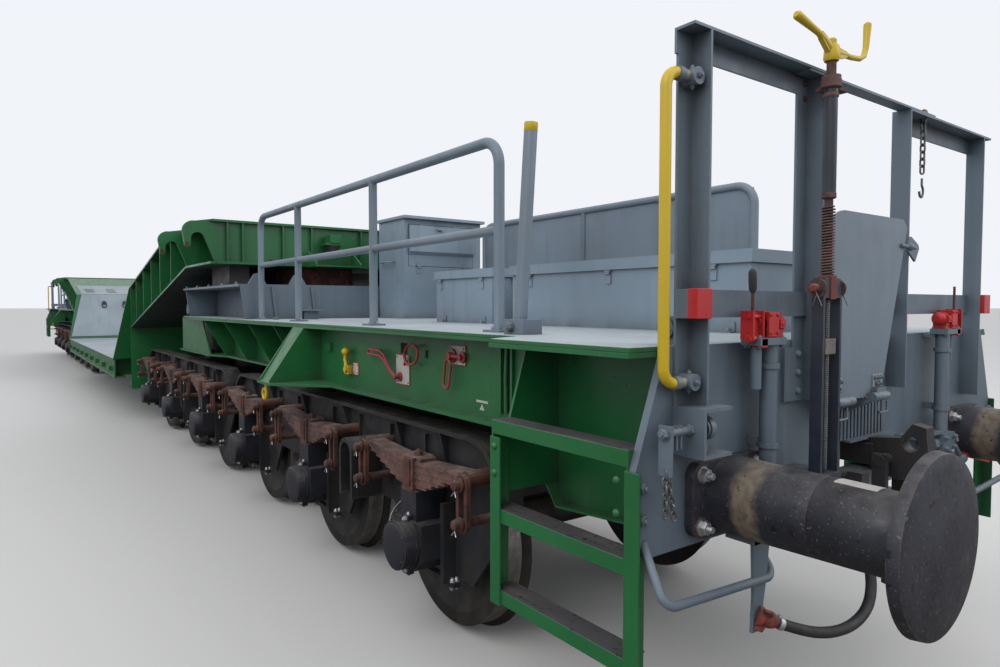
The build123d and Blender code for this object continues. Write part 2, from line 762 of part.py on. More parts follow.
# Railings: open tube railing with a stanchion on one side, sheet-filled on the other
post_xs = (12130, 10910, 9700)
bend_x = 8850
panel_y = 950
panel_x = (9400, 12150)
panel_post_xs = (9950, 10700, 11450)
stanchion_x = 12340
with BuildPart() as railings:
    tube_path(
        [
            (post_xs[0], -rail_y, deck_z),
            (post_xs[0], -rail_y, rail_top_z),
            (bend_x, -rail_y, rail_top_z),
            (bend_x, -rail_y, pedestal_top_z - 290),
        ],
        rail_r,
        110,
    )
    rod((post_xs[0], -rail_y, rail_mid_z), (bend_x, -rail_y, rail_mid_z), rail_r - 2)
    for x in post_xs[1:]:
        rod((x, -rail_y, deck_z), (x, -rail_y, rail_top_z), rail_r)
    for x in post_xs + (bend_x,):
        block((x - 60, x + 60), (-rail_y - 45, -rail_y + 45), (deck_z, deck_z + 10))
    rod((stanchion_x, -web_y, deck_z + 15), (stanchion_x + 70, -web_y, rail_top_z), 27)
    block((stanchion_x - 40, stanchion_x + 80), (-web_y - 50, -web_y + 50), (deck_z, deck_z + 60))
    tube_path(
        [
            (panel_x[1], panel_y, deck_z),
            (panel_x[1], panel_y, rail_top_z),
            (panel_x[0], panel_y, rail_top_z),
            (panel_x[0], panel_y, deck_z),
        ],
        rail_r,
        120,
    )
    block((panel_x[0], panel_x[1] - 6), (panel_y - 2, panel_y + 2), (deck_z + 10, rail_top_z - 20))
    for x in panel_post_xs:
        rod((x, panel_y, deck_z), (x, panel_y, rail_top_z), rail_r - 4)
    for x in panel_x:
        block((x - 60, x + 60), (panel_y - 50, panel_y + 50), (deck_z, deck_z + 10))
end_pieces["railings"] = railings.part


# Chests on the deck, each a sheet box with a hinged hood lid
brim = 14
skirt_z = chest_top_z - 25  # lower edge of a lid, where its hinges turn
hinge_r = 9
hinge_y = chest_y[1] + brim + hinge_r + fit_gap
hinge_w = 60
hinge_inset = 110
leaf_h = 9


def hinge_starts(low, high):
    """Where each of two hinges begins along an edge."""
    return (low + hinge_inset, high - hinge_inset - 2 * hinge_w - fit_gap)


with BuildPart() as chests:
    for low_x, high_x in chest_spans.values():
        block((low_x, high_x), chest_y, (deck_z, chest_top_z))
        block(
            (low_x + sheet_t, high_x - sheet_t),
            (chest_y[0] + sheet_t, chest_y[1] - sheet_t),
            (deck_z + sheet_t, chest_top_z + 1),
            mode=Mode.SUBTRACT,
        )
        for x in hinge_starts(low_x, high_x):
            knuckle = (x + hinge_w + fit_gap, x + 2 * hinge_w + fit_gap)
            block(knuckle, (chest_y[1], hinge_y), (skirt_z - leaf_h, skirt_z - fit_gap))
            rod((knuckle[0], hinge_y, skirt_z), (knuckle[1], hinge_y, skirt_z), hinge_r)
end_pieces["chests"] = chests.part

for tag, (low_x, high_x) in chest_spans.items():
    with BuildPart() as lid:
        block(
            (low_x - brim, high_x + brim),
            (chest_y[0] - brim, chest_y[1] + brim),
            (skirt_z, chest_top_z + 30),
        )
        block(
            (low_x - brim + sheet_t, high_x + brim - sheet_t),
            (chest_y[0] - brim + sheet_t, chest_y[1] + brim - sheet_t),
            (skirt_z - 1, chest_top_z + lid_gap),
            mode=Mode.SUBTRACT,
        )
        for x in hinge_starts(low_x, high_x):
            block((x, x + hinge_w), (chest_y[1] + brim - sheet_t, hinge_y), (skirt_z, skirt_z + leaf_h))
            rod((x, hinge_y, skirt_z), (x + hinge_w, hinge_y, skirt_z), hinge_r)
    end_pieces[tag + "_chest_lid"] = lid.part


# Tall cabinet with a sloping roof, its front flap hinged along the top
flap_z = (1985, 2350)
flap_y = (240, 915)
flap_gap = 4
flap_hinge_r = 6
flap_hinge_x = cabinet_x[1] + flap_hinge_r + fit_gap
with BuildPart() as cabinet:
    section = [
        (cabinet_x[0], deck_z),
        (cabinet_x[1], deck_z),
        (cabinet_x[1], cabinet_top_z),
        (cabinet_x[0], cabinet_top_z - 20),
    ]
    prism(across(cabinet_y[0]), section, -(cabinet_y[1] - cabinet_y[0]))
    block(
        (cabinet_x[0] + sheet_t, cabinet_x[1] - sheet_t),
        (cabinet_y[0] + sheet_t, cabinet_y[1] - sheet_t),
        (deck_z + sheet_t, cabinet_top_z - 30),
        mode=Mode.SUBTRACT,
    )
    block((cabinet_x[1] - 20, cabinet_x[1] + 20), flap_y, flap_z, mode=Mode.SUBTRACT)
    roof_y = (cabinet_y[0] - 20, cabinet_y[1] + 20)
    block((cabinet_x[0] - 20, cabinet_x[1] + 45), roof_y, (cabinet_top_z - 24, cabinet_top_z))
    for y in hinge_starts(*flap_y):
        knuckle = (y + hinge_w + fit_gap, y + 2 * hinge_w + fit_gap)
        block((cabinet_x[1] - sheet_t, flap_hinge_x), knuckle, (flap_z[1], flap_z[1] + leaf_h))
        rod((flap_hinge_x, knuckle[0], flap_z[1]), (flap_hinge_x, knuckle[1], flap_z[1]), flap_hinge_r)
end_pieces["cabinet"] = cabinet.part

with BuildPart() as flap:
    skin_x = cabinet_x[1] - sheet_t
    flap_top = flap_z[1] - flap_hinge_r - fit_gap
    flap_section = [
        (skin_x, flap_z[0] + flap_gap),
        (skin_x + 6, flap_z[0] + flap_gap),
        (skin_x + 6, flap_z[0] + 100),
        (skin_x + 40, flap_z[0] + 130),
        (skin_x + 26, flap_top),
        (skin_x, flap_top),
    ]
    prism(across(flap_y[0] + flap_gap), flap_section, -(flap_y[1] - flap_y[0] - 2 * flap_gap))
    for y in hinge_starts(*flap_y):
        block((flap_hinge_x - 4, flap_hinge_x + 4), (y, y + hinge_w), (flap_top - 1, flap_z[1] - 1))
        rod((flap_hinge_x, y, flap_z[1]), (flap_hinge_x, y + hinge_w, flap_z[1]), flap_hinge_r)
end_pieces["cabinet_flap"] = flap.part


# Handbrake: crank, sleeve, spring, nut and the two flat links on the headstock
brake_x = half_length + 130
brake_y = -522
hub_z = (2415, 2465)
sleeve_z = (1984, 2330)
brake_spring_z = (1740, sleeve_z[0])
nut_z = (1664, 1737)
nut_half = 78
link_low_z = 1108
left_grip = ((brake_x, -608, 2484), (brake_x, -725, 2506))
right_elbow = (brake_x, -305, 2473)
right_grip_z = 2586
with BuildPart() as handbrake:
    # crank with one raised and one bent arm
    rod((brake_x, brake_y, hub_z[0]), (brake_x, brake_y, hub_z[1]), 26)
    hub_mid = (brake_x, brake_y, (hub_z[0] + hub_z[1]) / 2)
    rod(hub_mid, left_grip[0], 13)
    rod(*left_grip, 16)
    rod(hub_mid, right_elbow, 12)
    rod(right_elbow, (brake_x, right_elbow[1] + 8, right_grip_z), 14)
    # spindle, collar, sleeve and spring
    rod((brake_x, brake_y, link_low_z - 30), (brake_x, brake_y, hub_z[0]), 17)
    rod((brake_x, brake_y, sleeve_z[1]), (brake_x, brake_y, sleeve_z[1] + 45), 44)
    rod((brake_x, brake_y, sleeve_z[0]), (brake_x, brake_y, sleeve_z[1]), 35)
    rod((brake_x, brake_y, brake_spring_z[0]), (brake_x, brake_y, brake_spring_z[1]), 26)
    # nut with its two flat links
    block((brake_x - 36, brake_x + 36), (brake_y - nut_half, brake_y + nut_half), nut_z)
    for y in (brake_y - nut_half + 6, brake_y + nut_half - 18):
        block((brake_x - 32, brake_x + 32), (y, y + 12), (link_low_z, nut_z[1] - 12))
    # brackets back to the headstock and to the second post
    brake_span = (brake_y - nut_half, brake_y + nut_half)
    block((half_length, brake_x + 30), brake_span, (link_low_z - 30, link_low_z))
    post_y = portal_posts[1][0]
    top_bracket = (sleeve_z[1] + 5, sleeve_z[1] + 17)
    block((portal_front, brake_x), (post_y - angle_w, post_y + 20), top_bracket)
end_pieces["handbrake"] = handbrake.part


# Bridge plate that folds down over the buffers, flaring towards its free end
corner_r = 95
small_corner = 30
with BuildPart() as bridge_plate:
    with BuildSketch(Plane.YZ.offset(bridge_x)) as bridge_face:
        with BuildLine():
            left_edge = Line((bridge_foot_y[0], bridge_low_z), (bridge_head_y[0], bridge_top_z - corner_r))
            left_round = ThreePointArc(
                left_edge @ 1,
                (bridge_head_y[0] + 0.3 * corner_r, bridge_top_z - 0.3 * corner_r),
                (bridge_head_y[0] + corner_r, bridge_top_z),
            )
            head_edge = Line(left_round @ 1, (bridge_head_y[1] - small_corner, bridge_top_z))
            Polyline(
                head_edge @ 1,
                (bridge_head_y[1], bridge_top_z - small_corner),
                (bridge_foot_y[1], bridge_low_z),
                left_edge @ 0,
            )
        make_face()
    extrude(bridge_face.sketch, amount=bridge_t)
    for y in (bridge_foot_y[0], bridge_foot_y[1] - knuckle_w):
        block((bridge_x, bridge_hinge_x), (y, y + knuckle_w), (bridge_low_z - 8, bridge_low_z + 30))
        rod((bridge_hinge_x, y, bridge_low_z), (bridge_hinge_x, y + knuckle_w, bridge_low_z), bridge_hinge_r)
end_pieces["bridge_plate"] = bridge_plate.part


# Gooseneck: flange plates, webs and ribs, with the hooked cross beam on top
top_line = [(well_foot_x, well_z), knee, slope_top, (beam_x[0], beam_z[1] - 40)]
belly_line = [(belly_x, belly_low_z), (belly_x, belly_bend_z), belly_top, (beam_x[1] + 20, belly_top[1])]
rib_stations = (4300, 4850, 5400, 5950, 6550)


def line_z(line, x):
    """Height of a polyline at x."""
    for (x0, z0), (x1, z1) in zip(line, line[1:]):
        if x0 <= x <= x1 and x1 > x0:
            return z0 + (z1 - z0) * (x - x0) / (x1 - x0)
    return line[-1][1]


with BuildPart() as gooseneck:
    side_area = [
        (well_foot_x, belly_low_z),
        (well_foot_x, well_z),
        knee,
        slope_top,
        (beam_x[0], beam_z[1] - 40),
        (beam_x[0], beam_z[0]),
        belly_top,
        (belly_x, belly_bend_z),
        (belly_x, belly_low_z),
    ]
    web_area = side_area[:5] + [(beam_x[1], beam_z[1] - 40), (beam_x[1], beam_z[0])] + side_area[6:]
    # top and belly plates as thin bands cut from the side outline
    for (p, q), (wp, wq) in zip(
        zip(top_line, top_line[1:]),
        ((well_half, arm_half), (arm_half, arm_half), (arm_half, arm_half)),
    ):
        run = Vector(q[0] - p[0], 0, q[1] - p[1])
        plane = Plane(origin=(p[0], 0, p[1]), x_dir=run, z_dir=Vector(-run.Z, 0, run.X))
        long = run.length
        prism(plane, [(0, -wp), (long, -wq), (long, wq), (0, wp)], -skin)
    with BuildSketch(across(arm_half)) as belly_band:
        with BuildLine():
            Polyline(*belly_line)
            offset(amount=skin, side=Side.LEFT)
        make_face()
    extrude(belly_band.sketch, amount=2 * arm_half)
    for y in (-arm_web_y, arm_web_y):
        prism(across(y + skin / 2), web_area, skin)
    # ribs from edge to edge between the two plates
    rib_y = (-arm_half + 8, arm_half - 8)
    for x in rib_stations:
        block((x, x + 14), rib_y, (line_z(belly_line[1:], x) + 4, line_z(top_line, x) - 12))
    # upright rib at the knee and the keel wall under it
    block((belly_x - 16, belly_x), rib_y, (belly_low_z, line_z(top_line, belly_x) - 12))
    block((well_foot_x, belly_x), (-arm_half, arm_half), (belly_low_z, belly_low_z + skin))
    # hooked webs of the cross beam
    for x in (beam_x[0], beam_x[1] - beam_web_t):
        with BuildSketch(Plane.YZ.offset(x)) as hooked:
            with BuildLine():
                low_run = Line((0, beam_z[0]), (-1100, beam_z[0]))
                body_edge = Line(low_run @ 1, (-1190, 2230))
                throat_top = ThreePointArc(body_edge @ 1, (-1248, 2272), (-1300, 2228))
                nose_in = Line(throat_top @ 1, (-1304, 2165))
                nose_tip = ThreePointArc(nose_in @ 1, (-1328, 2140), (-1352, 2168))
                nose_out = Line(nose_tip @ 1, (-hook_half, 2280))
                crown = ThreePointArc(nose_out @ 1, (-1340, 2345), (-1270, 2368))
                top_run = Line(crown @ 1, (-1140, beam_z[1]))
                to_mid = Line(top_run @ 1, (0, beam_z[1]))
                Line(to_mid @ 1, low_run @ 0)
            make_face()
            mirror(about=Plane.YZ)
        extrude(hooked.sketch, amount=beam_web_t)
    block((beam_x[0] - 20, beam_x[1] + 40), (-1140, 1140), (beam_z[1] - skin, beam_z[1]))
    block((beam_x[0] - 20, beam_x[1] + 40), (-1100, 1100), (beam_z[0], beam_z[0] + skin))
    for y in (-1010, -880, -520, -250, 250, 520, 880, 1010):
        block((beam_x[1], beam_x[1] + 36), (y - 6, y + 6), (beam_z[0] + skin, beam_z[1] - skin))
    # socket for the turntable pin
    with Locations((pivot_x, 0, (beam_z[0] + beam_z[0] + 220) / 2)):
        Cylinder(bridge_pin_r + 60, 220)
    with Locations((pivot_x, 0, beam_z[0] + 95)):
        Cylinder(bridge_pin_r + bridge_pin_gap, 220, mode=Mode.SUBTRACT)
end_pieces["gooseneck"] = gooseneck.part


# Light cover plate on the well side of the gooseneck, with its lightening slots
slot_columns = (-860, -420, 420, 860)
slot_rows = 3
slot_size = (95, 190)
slot_pitch = 170
cover_t = 12
cover_half = 1060
slope_run = Vector(slope_top[0] - knee[0], 0, slope_top[1] - knee[1])
wall_run = Vector(knee[0] - well_foot_x, 0, knee[1] - well_z)
cover_rise = 1150
cover_foot = 52  # how far up the wall the plate starts, clear of the floor
cover_foot_half = 1290
with BuildPart() as cover_plate:
    wall_out = Vector(-wall_run.Z, 0, wall_run.X)
    wall_plane = Plane(origin=(well_foot_x, 0, well_z), x_dir=wall_run, z_dir=wall_out)
    prism(
        wall_plane,
        [
            (cover_foot, -cover_foot_half),
            (wall_run.length, -cover_half),
            (wall_run.length, cover_half),
            (cover_foot, cover_foot_half),
        ],
        cover_t,
    )
    slope_out = Vector(-slope_run.Z, 0, slope_run.X)
    slope_plane = Plane(origin=(knee[0], 0, knee[1]), x_dir=slope_run, z_dir=slope_out)
    with BuildSketch(slope_plane) as slope_sketch:
        with Locations((cover_rise / 2, 0)):
            Rectangle(cover_rise, 2 * cover_half)
        for row in range(slot_rows):
            for y in slot_columns:
                with Locations((260 + row * slot_pitch, y)):
                    Rectangle(*slot_size, mode=Mode.SUBTRACT)
    extrude(slope_sketch.sketch, amount=cover_t)
end_pieces["cover_plate"] = cover_plate.part


# Brake hose: from the cock on the headstock, hanging to its parking hook
hose_r = 17
head_length = 66
hose_x = half_length + 120
hose_route = [
    (hose_x, -270, 980),
    (hose_x + 10, -285, 905),
    (hose_x + 45, -305, 820),
    (hose_x + 85, -340, 738),
    (hose_x + 108, -405, 675),
    (hose_x + 108, -495, 640),
    (hose_x + 88, -598, 632),
    (hose_x + 45, -700, 652),
    (hose_x + 2, -785, 692),
]


def bend_radii(points):
    """Largest even bend at each corner of a route: 0.45 of its shorter run."""
    radii = []
    for before, corner, after in zip(points, points[1:], points[2:]):
        into = Vector(*corner) - Vector(*before)
        out = Vector(*after) - Vector(*corner)
        half_turn = math.radians(into.get_angle(out)) / 2
        radii.append(0.45 * min(into.length, out.length) / math.tan(half_turn))
    return radii


hose_radii = bend_radii(hose_route)
print("hose bend radii", [round(r) for r in hose_radii])
with BuildPart() as brake_hose:
    with BuildLine():
        hose_line = FilletPolyline(*hose_route, radius=hose_radii)
    first_run = Vector(*hose_route[1]) - Vector(*hose_route[0])
    with BuildSketch(Plane(origin=hose_route[0], z_dir=first_run)):
        Circle(hose_r)
    sweep(path=hose_line)
end_pieces["brake_hose"] = brake_hose.part
hose_volume = math.pi * hose_r**2 * hose_line.length
print("hose length", round(hose_line.length), "volume ratio", round(brake_hose.part.volume / hose_volume, 3))

# Hand pumps on flanged standpipes, the brake cocks and the parking hook of the hose
pump_x = half_length + 62
pumps = (
    # (middle, side that the lever's block points to, lower end of the standpipe)
    (-712, -1, 1040),
    (560, 1, 1110),
)
pump_z = 1590
pump_flange_z = (1526, 1550)
clamp_z = 1205
pipe_r = 27
hook_plate_t = 12
with BuildPart() as brake_fittings:
    for y, side, low_z in pumps:
        lever_block_y = sorted((y + side * 57, y + side * 155))
        block((pump_x - 42, pump_x + 42), lever_block_y, (pump_flange_z[0] - 6, pump_z + 38))
        rod((pump_x, y + side * 60, pump_z), (pump_x, y - side * 84, pump_z), 38)
        block((pump_x - 36, pump_x + 36), sorted((y + side * 60, y - side * 50)), (pump_flange_z[1], pump_z))
        block((pump_x - 50, pump_x + 50), sorted((y + side * 62, y - side * 85)), pump_flange_z)
        rod((pump_x, y, low_z), (pump_x, y, pump_flange_z[0]), pipe_r)
        stub_y = y + side * 58
        rod((pump_x, stub_y, pump_flange_z[0] - 133), (pump_x, stub_y, pump_flange_z[0]), pipe_r - 2)
        block((half_length, pump_x - 25), (y - 40, y + 40), (pump_flange_z[0] - 15, pump_flange_z[0]))
        block((half_length, pump_x), (y - 14, y + 14), (clamp_z, clamp_z + 30))
    # cock of the brake pipe below the right pump
    cock_y, cock_top = pumps[1][0], pumps[1][2]
    block((pump_x - 32, pump_x + 32), (cock_y - 60, cock_y + 60), (cock_top - 80, cock_top))
    block((half_length, pump_x + 20), (cock_y - 285, cock_y), (cock_top, cock_top + 15))
    rod((pump_x, cock_y - 110, cock_top - 40), (pump_x, cock_y + 110, cock_top - 40), 22)
    # cock that the hose hangs from, with its outlet along the hose
    hose_start = Vector(*hose_route[0])
    outlet = hose_start - first_run.normalized() * 60
    rod(hose_start, outlet, hose_r + 7)
    rod((half_length, outlet.Y, outlet.Z), (hose_start.X, outlet.Y, outlet.Z), 22)
    block((outlet.X - 28, outlet.X + 28), (outlet.Y - 28, outlet.Y + 28), (outlet.Z - 25, outlet.Z + 35))
    # coupling head at the hose's end, parked on its tapered plate
    hose_end = Vector(*hose_route[-1])
    head_end = hose_end + (hose_end - Vector(*hose_route[-2])).normalized() * head_length
    rod(hose_end, head_end, 32)
    hook_y = head_end.Y - 10
    hook_outline = [
        (hook_y - 12, head_end.Z - 70),
        (hook_y + 28, head_end.Z - 70),
        (hook_y + 60, head_end.Z + 100),
        (hook_y + 70, head_low_z + 20),
        (hook_y, head_low_z + 20),
        (hook_y + 5, head_end.Z + 100),
    ]
    prism(Plane.YZ.offset(half_length), hook_outline, hook_plate_t)
    block((half_length, hose_x + 10), (hook_y - 10, hook_y + 10), (head_end.Z - 17, head_end.Z + 23))
end_pieces["brake_fittings"] = brake_fittings.part


# Well floor with its side beams and the row of lashing hooks
side_beam_low_z = 633
floor_frames = 9
floor_end_gap = 250
lashing_reach = 33  # how far the lashing blocks stand out of the floor's edge
floor_pitch = (2 * well_foot_x - 2 * floor_end_gap) / (floor_frames - 1)
floor_span = (-well_foot_x, well_foot_x)
with BuildPart() as well_floor:
    block(floor_span, (-well_half, well_half), (well_z - skin, well_z))
    for side in (-1, 1):
        outer = side * (well_half - 15)
        block(floor_span, sorted((outer, outer - side * skin)), (side_beam_low_z, well_z - skin))
        foot_y = sorted((outer + side * 10, outer - side * 140))
        block(floor_span, foot_y, (side_beam_low_z - skin, side_beam_low_z))
        keel = side * 1000
        block(floor_span, sorted((keel, keel - side * skin)), (belly_low_z, well_z - skin))
        middle = side * 330
        block(floor_span, sorted((middle, middle - side * skin)), (belly_low_z, well_z - skin))
    block(floor_span, (-1000, 1000), (belly_low_z, belly_low_z + skin))
    # cross frames, and a lashing block at both ends of each
    frame_height = well_z - skin - side_beam_low_z
    with Locations((0, 0, side_beam_low_z + frame_height / 2)):
        with GridLocations(floor_pitch, 0, floor_frames, 1):
            Box(16, 2 * (well_half - 25), frame_height)
    lashing_out = lashing_reach + 15
    with Locations((0, 0, well_z - 155)):
        with GridLocations(floor_pitch, 2 * (well_half + lashing_reach) - lashing_out, floor_frames, 2):
            Box(90, lashing_out, 70)
pieces["well_floor"] = well_floor.part


# Write every node: the shared ones, then each end and its mirror image
for name, piece in pieces.items():
    piece.label = name
    export_step(piece, f"parts/{name}.step")

for name, piece in end_pieces.items():
    for letter in ("a", "b"):
        with BuildPart() as placed:
            if letter == "a":
                add(piece)
            else:
                mirror(piece, about=Plane.YZ)
        placed.part.label = f"{name}_{letter}"
        export_step(placed.part, f"parts/{name}_{letter}.step")

for letter, sign in (("a", 1), ("b", -1)):
    axle_number = 0
    for bogie_x in (outer_bogie_x, inner_bogie_x):
        for x in (axle_step, 0, -axle_step):
            axle_number += 1
            with BuildPart() as placed:
                add(wheelset.part.moved(Location((sign * (bogie_x + x), 0, axle_z))))
            placed.part.label = f"wheelset_{letter}{axle_number}"
            export_step(placed.part, f"parts/wheelset_{letter}{axle_number}.step")
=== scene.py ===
"""Looks of the heavy-duty well wagon: finishes, small fittings, hoses and chains.

Metres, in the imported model's frame: X along the track, Y across, Z up from the
flanges. The near end is end a, at +X; end b is its mirror image across X = 0.
"""

import math

import bmesh
import bpy
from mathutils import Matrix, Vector


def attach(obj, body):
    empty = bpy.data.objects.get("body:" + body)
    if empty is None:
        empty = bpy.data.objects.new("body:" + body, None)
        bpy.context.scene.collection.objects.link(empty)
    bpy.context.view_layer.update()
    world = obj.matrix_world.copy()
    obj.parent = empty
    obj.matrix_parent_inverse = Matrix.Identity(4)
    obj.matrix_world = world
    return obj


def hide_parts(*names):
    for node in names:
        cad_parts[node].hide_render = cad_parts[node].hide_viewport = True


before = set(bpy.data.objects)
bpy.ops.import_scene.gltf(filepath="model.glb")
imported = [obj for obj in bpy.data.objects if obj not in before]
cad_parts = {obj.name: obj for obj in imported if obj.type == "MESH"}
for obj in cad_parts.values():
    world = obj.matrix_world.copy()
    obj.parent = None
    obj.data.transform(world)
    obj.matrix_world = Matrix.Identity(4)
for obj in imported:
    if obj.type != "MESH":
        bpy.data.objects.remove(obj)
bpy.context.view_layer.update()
ENDS = (("a", 1), ("b", -1))
HEAD_X = 13.25  # front face of the headstock
DECK_Z = 1.53
AXLE_Z = 0.490
AXLE_STEP = 1.4
BOGIE_XS = {"1": 10.2, "2": 6.0}  # middle of the outer and of the inner bogie
AXLE_XS = [middle + step for middle in BOGIE_XS.values() for step in (-AXLE_STEP, 0, AXLE_STEP)]
SPRING_Y = 1.002
WEB_Y = 0.950  # outer face of the end frame's web
FRAME_BODY = "end_frame_{}"
OUT = Vector((1, 0, 0))
NEAR = Vector((0, -1, 0))
UP = Vector((0, 0, 1))
SHARP = math.radians(40)  # edges sharper than this are shaded sharp and bevelled


def show(name, data):
    """A new object in the scene."""
    thing = bpy.data.objects.new(name, data)
    bpy.context.scene.collection.objects.link(thing)
    return thing


def turn_to(thing, way):
    """Turn a camera or a lamp to look along a vector."""
    thing.rotation_mode = "QUATERNION"
    thing.rotation_quaternion = way.to_track_quat("-Z", "Y")


# Camera, as the photograph was taken
EYE = (14.518, -2.657, 1.647)
HEADING, PITCH = math.radians(36.42), math.radians(2.38)
SENSOR, LENS = 36, 24.62  # millimetres


def make_camera():
    """Camera beside the near headstock, looking along the wagon."""
    data = bpy.data.cameras.new("camera")
    data.sensor_width = SENSOR
    data.lens = LENS
    camera = show("camera", data)
    camera.location = EYE
    level = math.cos(PITCH)
    forward = Vector((-math.cos(HEADING) * level, math.sin(HEADING) * level, -math.sin(PITCH)))
    turn_to(camera, forward)
    bpy.context.scene.camera = camera


make_camera()


# Forms from which the small pieces are made, always at end a
def about(middle, reach):
    """The range that reaches equally far to both sides of a middle."""
    return (middle - reach, middle + reach)


def span(side, low, high, middle=0):
    """The range across the wagon between two distances from a middle, on one side of it."""
    return sorted((middle + side * low, middle + side * high))


class Form:
    """Small mesh forms gathered into one piece."""

    def __init__(self):
        self.mesh = bmesh.new()

    def skin(self, rings, closed=False):
        """Join rings of points, each to the next, into a closed surface."""
        verts = [[self.mesh.verts.new(point) for point in ring] for ring in rings]
        pairs = list(zip(verts, verts[1:]))
        if closed:
            pairs.append((verts[-1], verts[0]))
        for first, second in pairs:
            for i in range(len(first)):
                j = (i + 1) % len(first)
                self.mesh.faces.new((first[i], first[j], second[j], second[i]))
        if not closed:
            self.mesh.faces.new(verts[0])
            self.mesh.faces.new(verts[-1])

    def plate(self, outline, depth):
        """A flat outline pushed along a vector."""
        depth = Vector(depth)
        near = [Vector(point) for point in outline]
        self.skin([near, [point + depth for point in near]])

    def box(self, x, y, z):
        """A box between two corners, each argument a (low, high) pair."""
        foot = [(x[0], y[0], z[0]), (x[1], y[0], z[0]), (x[1], y[1], z[0]), (x[0], y[1], z[0])]
        self.plate(foot, (0, 0, z[1] - z[0]))

    def lathe(self, place, axis, profile, sides=16):
        """Turn a profile of (radius, distance) about an axis through a place."""
        axis = Vector(axis).normalized()
        across = axis.orthogonal().normalized()
        over = axis.cross(across)
        rings = []
        for radius, distance in profile:
            centre = Vector(place) + axis * distance
            rings.append([
                centre + (across * math.cos(angle) + over * math.sin(angle)) * radius
                for angle in (math.tau * step / sides for step in range(sides))
            ])
        self.skin(rings)

    def rod(self, place, axis, radius, reach, sides=16):
        """A plain cylinder along an axis, from the first to the second distance of reach."""
        self.lathe(place, axis, [(radius, reach[0]), (radius, reach[1])], sides)

    def sweep(self, points, radius, sides=8, closed=False):
        """A round bar or wire along points; a list gives each point its own radius."""
        points = [Vector(point) for point in points]
        radii = radius if isinstance(radius, (list, tuple)) else [radius] * len(points)
        rings = []
        across = None
        for index, point in enumerate(points):
            before = points[index - 1] if index or closed else point
            after = points[(index + 1) % len(points)] if closed or index + 1 < len(points) else point
            run = (after - before).normalized()
            across = run.orthogonal() if across is None else across - run * across.dot(run)
            across.normalize()
            over = run.cross(across)
            rings.append([
                point + (across * math.cos(angle) + over * math.sin(angle)) * radii[index]
                for angle in (math.tau * step / sides for step in range(sides))
            ])
        self.skin(rings, closed)

    def bolt(self, place, out, size, shank=0.5):
        """Washer, hexagon and the end of the shank; size is the thread's diameter."""
        self.rod(place, out, size * 1.15, (0, size * 0.17), 20)
        nut = [(0.96, 0), (0.96, 0.85), (0.82, 1)]
        end = [(0.48, 0), (0.48, 0.9 + shank), (0.4, 1 + shank)]
        for profile, sides in ((nut, 6), (end, 12)):
            self.lathe(place, out, [(size * radius, size * far) for radius, far in profile], sides)

    def rivet(self, place, out, radius):
        """A round rivet head."""
        turns = (0, 0.35, 0.7, 1.05, 1.4)
        self.lathe(place, out, [(radius * math.cos(a), radius * 0.75 * math.sin(a)) for a in turns], 14)

    def loop(self, centre, long_way, wide_way, long_half, round_r, wire, sides=8):
        """A closed link: straight sides and round ends."""
        long_way, wide_way = Vector(long_way).normalized(), Vector(wide_way).normalized()
        points = []
        for end in (1, -1):
            for step in range(7):
                angle = math.pi * step / 6
                reach = end * (long_half + round_r * math.sin(angle))
                aside = end * round_r * math.cos(angle)
                points.append(Vector(centre) + long_way * reach + wide_way * aside)
        self.sweep(points, wire, sides, closed=True)

    def chain(self, route, pitch, wire):
        """Links along a polyline, each turned a quarter from the last."""
        route = [Vector(point) for point in route]
        lengths = [(b - a).length for a, b in zip(route, route[1:])]
        for number in range(int(sum(lengths) / pitch)):
            along = (number + 0.5) * pitch
            for a, b, length in zip(route, route[1:], lengths):
                if along <= length:
                    break
                along -= length
            run = (b - a).normalized()
            across = Vector((1, 0, 0)) if abs(run.x) < 0.8 else Vector((0, 1, 0))
            across = (across - run * across.dot(run)).normalized()
            if number % 2:
                across = run.cross(across)
            across = (across + run.cross(across) * 0.35).normalized()
            bend = pitch * 0.34
            self.loop(a + run * along, run, across, pitch / 2 + wire - bend, bend, wire, 8)

    def helix(self, foot, radius, wire, height, turns, steps=14, sides=6):
        """A coil standing on a foot point."""
        foot = Vector(foot)
        points = []
        for step in range(int(turns * steps) + 1):
            angle = math.tau * step / steps
            rise = height * step / (turns * steps)
            points.append(foot + Vector((radius * math.cos(angle), radius * math.sin(angle), rise)))
        self.sweep(points, wire, sides)

    def place(self, name, material, body=FRAME_BODY, bevel=0.0):
        """Make the piece at end a and its mirror image at end b, each riding on its body."""
        made = {}
        bmesh.ops.recalc_face_normals(self.mesh, faces=self.mesh.faces)
        for letter, sign in ENDS:
            copy = self.mesh.copy()
            if sign < 0:
                bmesh.ops.scale(copy, vec=(-1, 1, 1), verts=copy.verts)
                bmesh.ops.reverse_faces(copy, faces=copy.faces)
            mesh = bpy.data.meshes.new(f"{name}_{letter}")
            copy.to_mesh(mesh)
            copy.free()
            mesh.materials.append(material)
            mesh.shade_smooth()
            mesh.set_sharp_from_angle(angle=SHARP)
            thing = show(f"{name}_{letter}", mesh)
            if bevel:
                edges = thing.modifiers.new("bevel", "BEVEL")
                edges.width = bevel
                edges.segments = 2
                edges.limit_method = "ANGLE"
                edges.angle_limit = SHARP
                edges.harden_normals = True
            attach(thing, body.format(letter))
            made[letter] = thing
        return made


